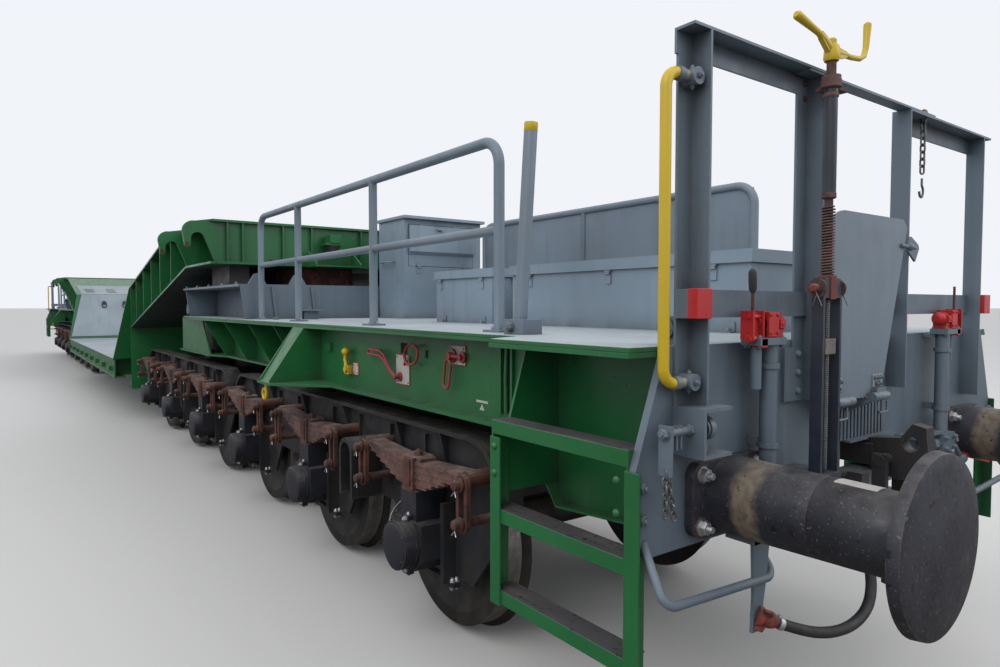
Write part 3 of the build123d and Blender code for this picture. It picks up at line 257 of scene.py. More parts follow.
# Brake hoses, along the same route as the CAD tube
HOSE_X = HEAD_X + 0.12
HOSE_R = 0.017
POINT_R = 0.05  # radius of the curve's points, by which Blender widens its box
HOSE_ROUTE = (
    (HOSE_X, -0.270, 0.980),
    (HOSE_X + 0.010, -0.285, 0.905),
    (HOSE_X + 0.045, -0.305, 0.820),
    (HOSE_X + 0.085, -0.340, 0.738),
    (HOSE_X + 0.108, -0.405, 0.675),
    (HOSE_X + 0.108, -0.495, 0.640),
    (HOSE_X + 0.088, -0.598, 0.632),
    (HOSE_X + 0.045, -0.700, 0.652),
    (HOSE_X + 0.002, -0.785, 0.692),
)


def make_hose(letter, sign):
    """Free hose from its cock to the coupling head on the parking hook."""
    data = bpy.data.curves.new(f"hose_{letter}", "CURVE")
    data.dimensions = "3D"
    data.bevel_depth = HOSE_R / POINT_R
    data.bevel_resolution = 6
    data.resolution_u = 16
    data.use_fill_caps = True
    spline = data.splines.new("NURBS")
    spline.points.add(len(HOSE_ROUTE) - 1)
    for point, (x, y, z) in zip(spline.points, HOSE_ROUTE):
        point.co = (sign * x, y, z, 1)
        point.radius = POINT_R
    spline.order_u = 3
    spline.use_endpoint_u = True
    hose = show(f"hose_{letter}", data)
    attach(hose, f"end_frame_{letter}")
    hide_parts(f"brake_hose_{letter}")
    data.materials.append(RUBBER)


# Node graphs for the materials
class Graph:
    """A material whose nodes are added by short calls."""

    def __init__(self, name):
        self.material = bpy.data.materials.new(name)
        self.material.use_nodes = True
        self.tree = self.material.node_tree
        self.shader = self.tree.nodes["Principled BSDF"]
        self.place = self.add("ShaderNodeTexCoord").outputs["Object"]

    def add(self, kind, sockets=None, **settings):
        """A node with its settings; socket values may be outputs of other nodes."""
        node = self.tree.nodes.new(kind)
        for key, value in settings.items():
            setattr(node, key, value)
        for key, value in (sockets or {}).items():
            self.put(node.inputs[key], value)
        return node

    def put(self, socket, value):
        """Link an output to a socket, or set the socket's own value."""
        if isinstance(value, bpy.types.NodeSocket):
            self.tree.links.new(value, socket)
        else:
            socket.default_value = value

    def noise(self, scale, detail=3.0, stretch=(1, 1, 1), shift=0.0):
        """Noise from 0 to 1 at so many waves a metre, drawn out along an axis."""
        mapping = self.add(
            "ShaderNodeMapping", {"Vector": self.place, "Scale": stretch, "Location": (shift,) * 3}
        )
        sockets = {"Vector": mapping.outputs[0], "Scale": scale, "Detail": detail}
        return self.add("ShaderNodeTexNoise", sockets).outputs[0]

    def band(self, value, low, high, to_low=0.0, to_high=1.0):
        """Map a range of a value to another, clamped."""
        node = self.add("ShaderNodeMapRange", {0: value, 1: low, 2: high, 3: to_low, 4: to_high})
        return node.outputs[0]

    def cloud(self, scale, detail, low, high, to_low=0.0, to_high=1.0, **how):
        """Noise with a range of it mapped to another; how gives its stretch and shift."""
        return self.band(self.noise(scale, detail, **how), low, high, to_low, to_high)

    def broken(self, mask, *cloud):
        """A mask broken up by noise."""
        return self.math("MULTIPLY", mask, self.cloud(*cloud))

    def mix(self, share, first, second):
        """Blend two colours."""
        node = self.add("ShaderNodeMix", {0: share, 6: first, 7: second}, data_type="RGBA")
        return node.outputs[2]

    def math(self, operation, first, second=0.0):
        """One step of arithmetic."""
        return self.add("ShaderNodeMath", {0: first, 1: second}, operation=operation).outputs[0]

    def up(self):
        """How far a face looks upwards, from 0 to 1."""
        normal = self.add("ShaderNodeNewGeometry").outputs["Normal"]
        return self.band(self.add("ShaderNodeSeparateXYZ", {0: normal}).outputs[2], 0.3, 0.95)

    def corners(self, distance=0.12):
        """Ambient occlusion: 1 in corners and joints, where shade falls, 0 in the open; used to paint shade.
        """
        node = self.add("ShaderNodeAmbientOcclusion", {"Distance": distance}, samples=4)
        return self.band(node.outputs["AO"], 0.85, 0.35)

    def edges(self, radius=0.004):
        """1 along sharp edges."""
        rounded = self.add("ShaderNodeBevel", {"Radius": radius}, samples=3).outputs[0]
        true_normal = self.add("ShaderNodeNewGeometry").outputs["Normal"]
        turn = self.add("ShaderNodeVectorMath", {0: rounded, 1: true_normal}, operation="DOT_PRODUCT")
        return self.band(turn.outputs["Value"], 0.985, 0.90)

    def bump(self, height, strength, distance=0.002):
        """Surface relief from a height."""
        sockets = {"Height": height, "Strength": strength, "Distance": distance}
        return self.add("ShaderNodeBump", sockets).outputs[0]

    def finish(self, colour, roughness, normal=None, metallic=0.0):
        """Connect the finished channels and hand the material back."""
        self.put(self.shader.inputs["Base Color"], colour)
        self.put(self.shader.inputs["Roughness"], roughness)
        self.shader.inputs["Metallic"].default_value = metallic
        if normal is not None:
            self.put(self.shader.inputs["Normal"], normal)
        return self.material


def tint(colour, factor):
    """A colour made lighter or darker, with its alpha."""
    return tuple(min(1.0, c * factor) for c in colour[:3]) + (1.0,)


DUST = (0.30, 0.27, 0.23, 1)
RUST = (0.13, 0.045, 0.02, 1)
# dark brown laid in by the ambient occlusion mask: painted shade in corners and joints, with grime
SHADE_AND_GRIME = (0.035, 0.03, 0.027, 1)


def paint(name, colour, roughness=0.42, streaks=0.25, dust=0.25, wear=0.3, relief=0.12):
    """Paint: uneven tone, run-off streaks, dust, painted shade with grime in corners, edges painted lighter
    as a sheen highlight and rusty where worn.
    """
    graph = Graph(name)
    base = colour + (1,)
    tone = graph.mix(graph.cloud(1.3, 4, 0.35, 0.7), tint(base, 0.86), tint(base, 1.12))
    streak = graph.cloud(5, 5, 0.54, 0.75, 0, streaks, stretch=(3.2, 3.2, 0.22))
    tone = graph.mix(streak, tone, tint(base, 0.55))
    pale = graph.cloud(7, 4, 0.6, 0.8, 0, streaks * 0.8, stretch=(2.6, 2.6, 0.16), shift=4.0)
    tone = graph.mix(pale, tone, graph.mix(0.5, tint(base, 1.7), DUST))
    settled = graph.broken(graph.up(), 3.5, 6, 0.3, 0.75, 0.2 * dust, dust)
    tone = graph.mix(settled, tone, DUST)
    # painted shade: corners and joints darkened from ambient occlusion, broken up by noise
    shaded_corners = graph.broken(graph.corners(), 9, 4, 0.3, 0.7, 0.25, 0.75)
    tone = graph.mix(shaded_corners, tone, SHADE_AND_GRIME)
    # along sharp edges: painted highlight, the paint made lighter as a sheen, mixed with rust where worn
    worn = graph.broken(graph.edges(), 30, 4, 0.45, 0.62, 0, wear)
    sheen_and_rust = graph.mix(graph.cloud(18, 3, 0.45, 0.6, shift=7.0), tint(base, 1.9), RUST)
    tone = graph.mix(worn, tone, sheen_and_rust)
    gloss = graph.cloud(11, 5, 0.3, 0.7, roughness - 0.07, roughness + 0.12)
    gloss = graph.math("ADD", gloss, graph.math("MULTIPLY", settled, 0.35))
    skin = graph.bump(graph.noise(55, 3), relief, 0.0015)
    return graph.finish(tone, gloss, skin)


def anti_slip(name, colour, holes=0.0):
    """Deck paint with sand in it, trodden and streaked with dust, painted shade in corners, and dark spots:
    chipped through on the deck, painted shade of the perforations on the treads.
    """
    graph = Graph(name)
    base = colour + (1,)
    tone = graph.mix(graph.cloud(1.1, 6, 0.35, 0.7), tint(base, 0.78), tint(base, 1.08))
    tone = graph.mix(graph.cloud(6, 6, 0.5, 0.75, 0, 0.35, stretch=(0.5, 2, 1)), tone, DUST)
    grain = graph.noise(240, 2)
    tone = graph.mix(graph.band(grain, 0.55, 0.7, 0, 0.4), tone, tint(base, 0.6))
    # painted shade in corners and joints, from ambient occlusion
    shaded_corners = graph.math("MULTIPLY", graph.corners(), 0.7)
    tone = graph.mix(shaded_corners, tone, SHADE_AND_GRIME)
    # dark spots: paint chipped through on the deck, and on the treads the painted shade seen through the
    # perforations
    chips_and_hole_shade = graph.cloud(52, 2, 0.64, 0.67, 0, holes, shift=6.0)
    tone = graph.mix(chips_and_hole_shade, tone, (0.012, 0.011, 0.010, 1))
    return graph.finish(tone, graph.cloud(9, 4, 0.3, 0.7, 0.55, 0.8), graph.bump(grain, 0.6, 0.002))


def old_iron(name, dark, bright, pits=0.7):
    """Rusted spring steel: two tones of rust, pits, and painted shade with grime in the joints."""
    graph = Graph(name)
    blotch = graph.cloud(9, 7, 0.38, 0.66)
    tone = graph.mix(blotch, dark + (1,), bright + (1,))
    tone = graph.mix(graph.cloud(34, 5, 0.55, 0.72, 0, 0.8, shift=3.0), tone, tint(dark + (1,), 0.35))
    tone = graph.mix(graph.broken(graph.up(), 14, 4, 0.4, 0.7, 0.1, 0.55), tone, DUST)
    # painted shade in the joints, from ambient occlusion
    tone = graph.mix(graph.math("MULTIPLY", graph.corners(0.06), 0.7), tone, SHADE_AND_GRIME)
    relief = graph.bump(graph.noise(70, 5), pits, 0.003)
    return graph.finish(tone, graph.cloud(22, 4, 0.3, 0.7, 0.62, 0.9), relief)


def sooty(name, colour, brown=0.35, roughness=0.5):
    """Black running-gear paint under brake dust."""
    graph = Graph(name)
    base = colour + (1,)
    tone = graph.mix(graph.cloud(4, 5, 0.35, 0.7), tint(base, 0.7), tint(base, 1.25))
    tone = graph.mix(
        graph.cloud(8, 6, 0.45, 0.7, 0, brown, stretch=(1, 1, 0.5)), tone, (0.075, 0.055, 0.042, 1)
    )
    settled = graph.broken(graph.up(), 12, 5, 0.35, 0.7, 0.12, 0.5)
    tone = graph.mix(settled, tone, tint(DUST, 0.6))
    worn = graph.broken(graph.edges(), 26, 4, 0.4, 0.6, 0, 0.5)
    tone = graph.mix(worn, tone, (0.17, 0.16, 0.15, 1))
    return graph.finish(
        tone, graph.cloud(13, 4, 0.3, 0.7, roughness, roughness + 0.25),
        graph.bump(graph.noise(60, 4), 0.25, 0.002),
    )


RING_X = HEAD_X + 0.150  # middle of the dried grease round the buffer


def greasy(name):
    """Black buffer paint with a dried tan grease ring, spots and scratches."""
    graph = Graph(name)
    tone = graph.mix(graph.cloud(5, 5, 0.35, 0.7), (0.013, 0.014, 0.020, 1), (0.034, 0.036, 0.047, 1))
    along = graph.add("ShaderNodeSeparateXYZ", {0: graph.place}).outputs[0]
    away = graph.math("ABSOLUTE", graph.math("SUBTRACT", graph.math("ABSOLUTE", along), RING_X))
    waver = graph.math("MULTIPLY", graph.noise(11, 6), 0.075)
    ring = graph.band(graph.math("SUBTRACT", away, waver), 0.012, -0.012)
    tone = graph.mix(graph.broken(ring, 40, 6, 0.3, 0.6, 0.35, 0.95), tone, (0.20, 0.155, 0.105, 1))
    tone = graph.mix(graph.cloud(38, 2, 0.66, 0.69, 0, 0.9, shift=5.0), tone, (0.004, 0.004, 0.005, 1))
    tone = graph.mix(graph.cloud(130, 3, 0.635, 0.68, 0, 0.6, shift=9.0), tone, (0.17, 0.13, 0.10, 1))
    settled = graph.broken(graph.up(), 18, 5, 0.3, 0.7, 0.05, 0.4)
    tone = graph.mix(settled, tone, (0.17, 0.16, 0.155, 1))
    worn = graph.broken(graph.edges(0.006), 26, 4, 0.42, 0.6, 0, 0.7)
    tone = graph.mix(worn, tone, (0.16, 0.075, 0.04, 1))
    gloss = graph.cloud(21, 5, 0.3, 0.7, 0.36, 0.72)
    return graph.finish(tone, gloss, graph.bump(graph.noise(75, 5), 0.35, 0.002))


def bare_steel(name, colour, roughness=0.35, rusty=0.3):
    """Zinc-plated or worn bright steel."""
    graph = Graph(name)
    tone = graph.mix(graph.cloud(30, 4, 0.35, 0.7), tint(colour + (1,), 0.75), colour + (1,))
    tone = graph.mix(graph.cloud(50, 5, 0.55, 0.7, 0, rusty), tone, (0.16, 0.07, 0.035, 1))
    return graph.finish(
        tone, graph.cloud(40, 4, 0.3, 0.7, roughness, roughness + 0.25),
        graph.bump(graph.noise(130, 3), 0.2, 0.001), metallic=0.85,
    )


def rubber(name):
    """Black hose rubber, slightly chalky."""
    graph = Graph(name)
    tone = graph.mix(graph.cloud(12, 5, 0.35, 0.7), (0.013, 0.013, 0.014, 1), (0.035, 0.034, 0.033, 1))
    return graph.finish(
        tone, graph.cloud(16, 4, 0.3, 0.7, 0.5, 0.75), graph.bump(graph.noise(160, 3), 0.3, 0.001)
    )


GREEN = paint("green_paint", (0.0125, 0.132, 0.037), 0.34, streaks=0.2, dust=0.22, wear=0.35)
SLATE = paint("slate_paint", (0.130, 0.172, 0.212), 0.42, streaks=0.4, dust=0.3, wear=0.35)
# the slate paint made lighter for the chests, the cabinet and the fittings on them: a lit copy of the slate,
# painted light
LIT_SLATE = paint("slate_paint_lit", (0.220, 0.285, 0.345), 0.45, streaks=0.3, dust=0.35, wear=0.35)
RAIL = paint("rail_paint", (0.165, 0.213, 0.258), 0.45, streaks=0.2, dust=0.3, wear=0.4)
PALE = paint("pale_grey_paint", (0.30, 0.36, 0.40), 0.5, streaks=0.3, dust=0.35, wear=0.3)
DECK = anti_slip("deck_paint", (0.42, 0.48, 0.51), holes=0.12)
# dark spots on the treads paint the shade in their perforations
TREAD = anti_slip("tread_paint", (0.085, 0.080, 0.084), holes=0.95)
BLACK = sooty("bogie_paint", (0.012, 0.013, 0.016))
CHARCOAL = sooty("axle_box_paint", (0.014, 0.016, 0.023), brown=0.15, roughness=0.34)
# grey of the belly plate, made dark as painted shade on its downward faces
SHADED_BELLY = paint("belly_grey_shaded", (0.045, 0.052, 0.056), 0.5, streaks=0.3, dust=0.2, wear=0.2)
SLEEVE = sooty("sleeve_paint", (0.028, 0.034, 0.052), brown=0.12, roughness=0.36)
LEAF = old_iron("leaf_rust", (0.072, 0.040, 0.035), (0.195, 0.095, 0.074))
LINK = old_iron("link_rust", (0.055, 0.022, 0.016), (0.15, 0.050, 0.032), pits=0.5)
BUCKLE = old_iron("buckle_rust", (0.085, 0.034, 0.022), (0.20, 0.074, 0.040), pits=0.5)
RED_RUST = old_iron("red_rust", (0.16, 0.035, 0.024), (0.34, 0.065, 0.045), pits=0.3)
# near-black wheel paint, darkened further as painted shade under the wagon
SHADED_WHEEL = sooty("wheel_paint_shaded", (0.010, 0.008, 0.0065), brown=0.3)
TYRE = bare_steel("tyre_steel", (0.33, 0.31, 0.29), 0.3, 0.25)
BUFFER = greasy("buffer_paint")
IRON = sooty("dark_iron", (0.025, 0.025, 0.028), brown=0.3, roughness=0.4)
RED = paint("red_enamel", (0.50, 0.016, 0.018), 0.3, streaks=0.15, dust=0.12, wear=0.3)
FADED = paint("faded_red", (0.33, 0.03, 0.028), 0.45, streaks=0.3, dust=0.4, wear=0.6)
YELLOW = paint("yellow_enamel", (0.62, 0.43, 0.012), 0.34, streaks=0.12, dust=0.15, wear=0.3)
GRIP = sooty("lever_grip", (0.020, 0.021, 0.022), brown=0.3, roughness=0.6)
# near-black for the web's gap and slots: painted shade inside them
SLOT_SHADE = sooty("slot_shade_paint", (0.006, 0.006, 0.007), brown=0.1, roughness=0.8)
WIRE = bare_steel("earth_wire", (0.34, 0.33, 0.30), 0.5, 0.3)
ZINC = bare_steel("zinc", (0.55, 0.56, 0.57))
DULL = bare_steel("dull_steel", (0.26, 0.24, 0.22), 0.45, 0.6)
CHAIN = bare_steel("chain_steel", (0.20, 0.20, 0.20), 0.4, 0.5)
RUBBER = rubber("rubber")
PLATE_WHITE = paint("plate_white", (0.50, 0.48, 0.44), 0.5, streaks=0.5, dust=0.4, wear=0.6)


# Finishes of the carried-over solids
def dress(node, *materials, choose=None):
    """Give a CAD node its materials; choose(centre, normal) picks one for each face."""
    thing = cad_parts[node]
    mesh = thing.data
    mesh.materials.clear()
    for material in materials:
        mesh.materials.append(material)
    if choose:
        for face in mesh.polygons:
            face.material_index = choose(face.center, face.normal)
    weld = thing.modifiers.new("weld", "WELD")
    weld.merge_threshold = 0.00002
    bevel = thing.modifiers.new("bevel", "BEVEL")
    bevel.width = 0.0025
    bevel.segments = 2
    bevel.limit_method = "ANGLE"
    bevel.angle_limit = math.radians(38)
    bevel.harden_normals = True


def dress_all():
    """Every CAD node's paint."""
    for nodes, materials, choose in (
        ("bogie_frame_1 bogie_frame_2", (BLACK,), None),
        ("springs_1 springs_2", (CHARCOAL, LEAF, LINK, BUCKLE), spring_finish),
        ("end_frame", (GREEN, YELLOW), end_frame_finish),
        ("deck", (DECK, GREEN), deck_finish),
        ("headstock", (SLATE, YELLOW), headstock_finish),
        ("buffers", (BUFFER,), None),
        ("draw_gear", (IRON,), None),
        ("steps", (GREEN, TREAD), step_finish),
        ("pedestal", (SLATE, LINK, IRON), pedestal_finish),
        ("railings bridge_plate", (RAIL,), None),
        ("chests long_chest_lid small_chest_lid cabinet cabinet_flap", (LIT_SLATE,), None),
        ("gooseneck", (GREEN, SHADED_BELLY), gooseneck_finish),
        ("cover_plate", (PALE,), None),
    ):
        for node in nodes.split():
            for letter, _ in ENDS:
                dress(f"{node}_{letter}", *materials, choose=choose)
    for letter, _ in ENDS:
        for number in range(1, 7):
            dress(f"wheelset_{letter}{number}", SHADED_WHEEL, TYRE, choose=wheel_finish)
    dress("well_floor", GREEN, PALE, choose=floor_finish)


def spring_finish(at, normal):
    """Axle boxes charcoal, then leaves, links and buckles in three tones of rust."""
    near_axle = min(abs(abs(at.x) - x) for x in AXLE_XS)
    if at.z < 0.75 and near_axle < 0.2:
        return 0
    if near_axle > 0.40 and (near_axle > 0.485 or abs(at.y) > 1.054 or abs(at.y) < 0.95):
        return 2
    if near_axle < 0.055 and abs(abs(at.y) - SPRING_Y) > 0.055:
        return 3
    return 1


def end_frame_finish(at, normal):
    """The open hooks under the outriggers are yellow."""
    return int(at.z < 1.144 and abs(at.y) > 1.2)


def deck_finish(at, normal):
    """Non-slip paint on top, green edges."""
    return int(normal.z < 0.9)


def headstock_finish(at, normal):
    """A yellow handrail between its grey clasps."""
    return int(at.y < -1.13 and 1.40 < at.z < 2.31 and abs(at.x) > HEAD_X + 0.01)


def step_finish(at, normal):
    """Treads are grey on top."""
    return int(normal.z > 0.9 and abs(at.y) < 1.262 and at.z > 0.62)


def pedestal_finish(at, normal):
    """The turntable's rim is rusty, and the side bearers are dark."""
    if at.z < 1.825 or abs(at.x) > 8.6:
        return 0
    return 1 if abs(at.y) < 0.45 else 2


def gooseneck_finish(at, normal):
    """The belly plate's downward faces are grey, made dark as painted shade."""
    return int(normal.z < -0.5 and abs(at.x) > 3.9 and at.z < 2.0)


def wheel_finish(at, normal):
    """Bright running surface."""
    radius = min(math.hypot(abs(at.x) - x, at.z - AXLE_Z) for x in AXLE_XS)
    return int(radius > 0.445 and 0.69 < abs(at.y) < 0.82 and normal.y * at.y < 0.6 * abs(at.y))


def floor_finish(at, normal):
    """Pale on top of the well's floor."""
    return int(normal.z > 0.9 and at.z > 0.88)


dress_all()


# Small pieces on the headstock
BUFFER_Y, BUFFER_Z = 0.875, 1.076
BRAKE_X, BRAKE_Y = HEAD_X + 0.13, -0.522
POST_FRONT = HEAD_X + 0.07


CLASP_X, CLASP_Y = HEAD_X + 0.032, -1.08  # the handrail's clasps
BRACKET_X, BRACKET_Z = HEAD_X + 0.062, 1.300  # the corner bracket's pin


def headstock_fasteners():
    """Bolts and rivets of the headstock plate, the clasps and the corner bracket."""
    form = Form()
    for y in (-1.239, 1.239):
        for z in (1.054, 1.144):
            form.bolt((HEAD_X, y, z), OUT, 0.017)
    for z in (1.357, 1.419, 1.482):
        form.rivet((HEAD_X + 0.012, -0.48, z), OUT, 0.014)
    for z in (1.43, 2.28):
        form.bolt((CLASP_X + 0.024, CLASP_Y, z), OUT, 0.009)
        for way in (1, -1):
            form.bolt((CLASP_X, CLASP_Y, z + way * 0.022), UP * way, 0.008)
        form.rod((CLASP_X, CLASP_Y - 0.045, z), NEAR, 0.020, (0, 0.022), 16)
    # pin of the corner bracket with its nut and the strips that hang beside the link
    form.bolt((BRACKET_X, -1.216, BRACKET_Z), NEAR, 0.016, 0.3)
    for y in (-1.19, -1.172, -1.154):
        form.box(about(BRACKET_X, 0.006), about(y, 0.0035), (1.252, 1.318))
    form.bolt((BRACKET_X, -1.10, BRACKET_Z), NEAR, 0.018, 0.1)
    washer = [(0.034, 0), (0.034, 0.018), (0.022, 0.024), (0.022, 0.036)]
    form.lathe((BRACKET_X, -1.0555, BRACKET_Z), -NEAR, washer, 28)
    form.place("headstock_fasteners", SLATE)

    # the front halves of the crossbar's end caps are red
    caps = Form()
    for y in ((-1.115, -1.049), (0.921, 0.987)):
        caps.box((HEAD_X + 0.050, HEAD_X + 0.086), y, (1.609, 1.693))
    caps.place("crossbar_caps", RED, bevel=0.002)

    rusty = Form()
    for z in (2.337, 2.385):
        rusty.rivet((HEAD_X + 0.008, -0.462, z), OUT, 0.011)
    rusty.rivet((HEAD_X + 0.008, 0.945, 1.30), OUT, 0.013)
    rusty.place("rusty_rivets", LINK)


SLEEVE_FROM, SLEEVE_TO = 0.328, 0.552  # from the headstock's face, over the plunger
HEAD_RIVETS_X, HEAD_RIVETS_R = HEAD_X + 0.5755, 0.19  # on the inner face of the buffer's head


def buffer_bolts():
    """Four plated bolts at each buffer's base, on rusty rings, and the head's rivets."""
    bolts, rings, spots = Form(), Form(), Form()
    for side in (-1, 1):
        for dy in (-0.136, 0.136):
            for dz in (-0.078, 0.078):
                place = (HEAD_X + 0.03, side * BUFFER_Y + dy, BUFFER_Z + dz)
                rings.lathe(place, OUT, [(0.030, 0), (0.029, 0.0012)], 24)
                bolts.bolt((place[0] + 0.0012, place[1], place[2]), OUT, 0.022, 0.75)
        for angle in (20, 95, 150, 215, 290):
            turn = math.radians(angle)
            y = side * BUFFER_Y + HEAD_RIVETS_R * math.cos(turn)
            spots.rivet((HEAD_RIVETS_X, y, BUFFER_Z + HEAD_RIVETS_R * math.sin(turn)), -OUT, 0.011)
    bolts.place("buffer_bolts", ZINC)
    rings.place("buffer_bolt_rings", BUCKLE)
    spots.place("buffer_head_rivets", LINK)
    # sleeve over the plunger, slightly tapered, and the white paint stripe on top of it
    sleeve, stripe = Form(), Form()
    profile = [
        (0.1100, SLEEVE_FROM), (0.1120, SLEEVE_FROM + 0.003),
        (0.1080, SLEEVE_TO - 0.003), (0.1060, SLEEVE_TO),
    ]
    for side in (-1, 1):
        sleeve.lathe((HEAD_X, side * BUFFER_Y, BUFFER_Z), OUT, profile, 64)
    sleeve.place("buffer_sleeves", BUFFER)
    angles = [math.radians(a) for a in (76, 83, 90, 97, 104)]
    stripe.skin([
        [
            (HEAD_X + x, -BUFFER_Y + r * math.cos(a), BUFFER_Z + r * math.sin(a))
            for r, row in ((radius, angles), (radius - 0.004, angles[::-1]))
            for a in row
        ]
        for x, radius in ((0.360, 0.1125), (0.470, 0.1104))
    ])
    stripe.place("buffer_stripe", PLATE_WHITE)


def hanging_chains():
    """Chain with an open hook under the flat bar, and the short one on the corner bracket."""
    form = Form()
    x, y = HEAD_X + 0.045, 0.350
    form.chain([(x, y + 0.002, 2.400), (x, y, 2.150)], 0.028, 0.0038)
    hook = [(x, y, 2.155)]
    for step in range(13):
        angle = math.radians(75 - 21 * step)
        hook.append((x, y + 0.017 * math.cos(angle) - 0.004, 2.103 + 0.024 * math.sin(angle)))
    form.sweep(hook, 0.0045)
    form.loop((x, y + 0.002, 2.402), UP, OUT, 0.012, 0.012, 0.004)
    link_foot = Vector((BRACKET_X, -1.214, 1.200))
    for top, end in (
        ((0, 0, 0), (0.006, -0.004, -0.130)),
        ((0.004, 0.006, -0.01), (0.016, 0.022, -0.135)),
    ):
        form.chain([link_foot + Vector(top), link_foot + Vector(end)], 0.021, 0.0030)
    form.place("hanging_chains", CHAIN)


def stand_for(node, *pieces):
    """Scene pieces that take a CAD node's place at both ends."""
    for made in pieces:
        for letter, _ in ENDS:
            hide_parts(f"{node}_{letter}")


def handbrake():
    """Crank, sleeve, spring, nut and links on the threaded spindle."""
    foot = (BRAKE_X, BRAKE_Y, 0)
    crank, dark, rusty, links = Form(), Form(), Form(), Form()
    crank.lathe(foot, UP, [(0.021, 2.412), (0.025, 2.420), (0.022, 2.458), (0.016, 2.465)], 24)
    crank.lathe(foot, UP, [(0.015, 2.465), (0.015, 2.479), (0.008, 2.484)], 6)
    left = [
        # (y, z, radius)
        (BRAKE_Y, 2.440, 0.014), (-0.565, 2.466, 0.012), (-0.600, 2.482, 0.0095), (-0.640, 2.490, 0.0105),
        (-0.685, 2.499, 0.0125), (-0.722, 2.506, 0.0135), (-0.730, 2.5075, 0.008),
    ]
    right = [
        (BRAKE_Y, 2.440, 0.013), (-0.470, 2.448, 0.010), (-0.400, 2.450, 0.0085), (-0.345, 2.457, 0.0085),
        (-0.318, 2.472, 0.009), (-0.306, 2.500, 0.0095), (-0.299, 2.560, 0.012), (-0.297, 2.580, 0.0125),
        (-0.297, 2.5865, 0.006),
    ]
    for arm in (left, right):
        crank.sweep([(BRAKE_X, y, z) for y, z, _ in arm], [radius for _, _, radius in arm], 16)
    for y, z, low, high in ((-0.590, 2.478, 0.022, 0.011), (-0.440, 2.448, 0.022, 0.009)):
        crank.plate([
            (BRAKE_X - 0.008, BRAKE_Y, 2.440 - low), (BRAKE_X - 0.008, BRAKE_Y, 2.440 + low),
            (BRAKE_X - 0.008, y, z + high), (BRAKE_X - 0.008, y, z - high),
        ], (0.016, 0, 0))
    # sleeve with its rings and collar, the coil under it and the bare spindle
    dark.rod(foot, UP, 0.0205, (1.990, 2.334), 32)
    for rings in (
        [(0.0195, 1.984), (0.0218, 1.986), (0.0218, 1.998), (0.0206, 2.002)],
        [(0.0215, 2.298), (0.0235, 2.301), (0.0235, 2.309), (0.0215, 2.312)],
        [
            (0.0240, 2.326), (0.0310, 2.330), (0.0310, 2.352),
            (0.0290, 2.356), (0.0290, 2.366), (0.0150, 2.368),
        ],
    ):
        rusty.lathe(foot, UP, rings, 32)
    rusty.rod(foot, UP, 0.0145, (2.366, 2.416), 24)
    rusty.rod(foot, UP, 0.0130, (1.738, 1.986), 24)
    rusty.helix((BRAKE_X, BRAKE_Y, 1.742), 0.0178, 0.0031, 0.216, 24)
    rusty.box((POST_FRONT, BRAKE_X), (-0.505, -0.415), (2.335, 2.347))
    # thread, flat links, their foot on the headstock and the nut between them
    dark.rod(foot, UP, 0.0080, (1.078, 1.670), 20)
    links.helix((BRAKE_X, BRAKE_Y, 1.115), 0.0082, 0.0020, 0.550, 92, 12, 5)
    for side in (-1, 1):
        dark.box(about(BRAKE_X, 0.020), span(side, 0.046, 0.056, BRAKE_Y), (1.100, 1.726))
    dark.box((HEAD_X, BRAKE_X + 0.026), about(BRAKE_Y, 0.060), (1.078, 1.108))
    dark.box(about(BRAKE_X, 0.019), about(BRAKE_Y, 0.046), (1.670, 1.732))
    return {
        "crank": (crank, YELLOW), "dark": (dark, SLEEVE), "rusty": (rusty, LEAF), "thread": (links, CHAIN)
    }


def handbrake_details():
    """The handbrake with its block, pins, washers and split pins."""
    for name, (form, material) in handbrake().items():
        stand_for("handbrake", form.place(f"handbrake_{name}", material))
    block, washers, pins, wires = Form(), Form(), Form(), Form()
    block.box(about(BRAKE_X, 0.016), about(BRAKE_Y, 0.032), (1.490, 1.540))
    for side in (-1, 1):
        out = Vector((0, side, 0))
        end = Vector((BRAKE_X, BRAKE_Y + side * 0.056, 1.700))
        washers.lathe(
            end, out, [(0.030, 0), (0.031, 0.001), (0.031, 0.006), (0.019, 0.006), (0.019, 0.011)], 28
        )
        pins.lathe(end, out, [(0.014, 0.004), (0.014, 0.030), (0.010, 0.034)], 14)
        for lean in (-0.30, 0.30):
            bend = [(0, 0), (0.010, -0.018), (0.012 + lean * 0.05, -0.056)]
            wires.sweep([end + out * 0.024 + Vector((dx, 0, dz)) for dx, dz in bend], 0.0018, 6)
    pins.box(about(BRAKE_X, 0.023), about(BRAKE_Y, 0.018), (1.664, 1.742))
    block.place("brake_block", DULL, bevel=0.002)
    washers.place("brake_washers", LEAF)
    pins.place("brake_pins", RED_RUST, bevel=0.003)
    wires.place("split_pins", CHAIN)


PUMP_X = HEAD_X + 0.062
PUMP_Z = 1.590
FLANGE_Z = (1.526, 1.548)
PUMPS = (
    # (standpipe, side of the lever, foot of the standpipe, radius and length of the stub)
    (-0.732, -1, 1.040, 0.0165, 0.133),
    (0.545, 1, 1.110, 0.0110, 0.115),
)


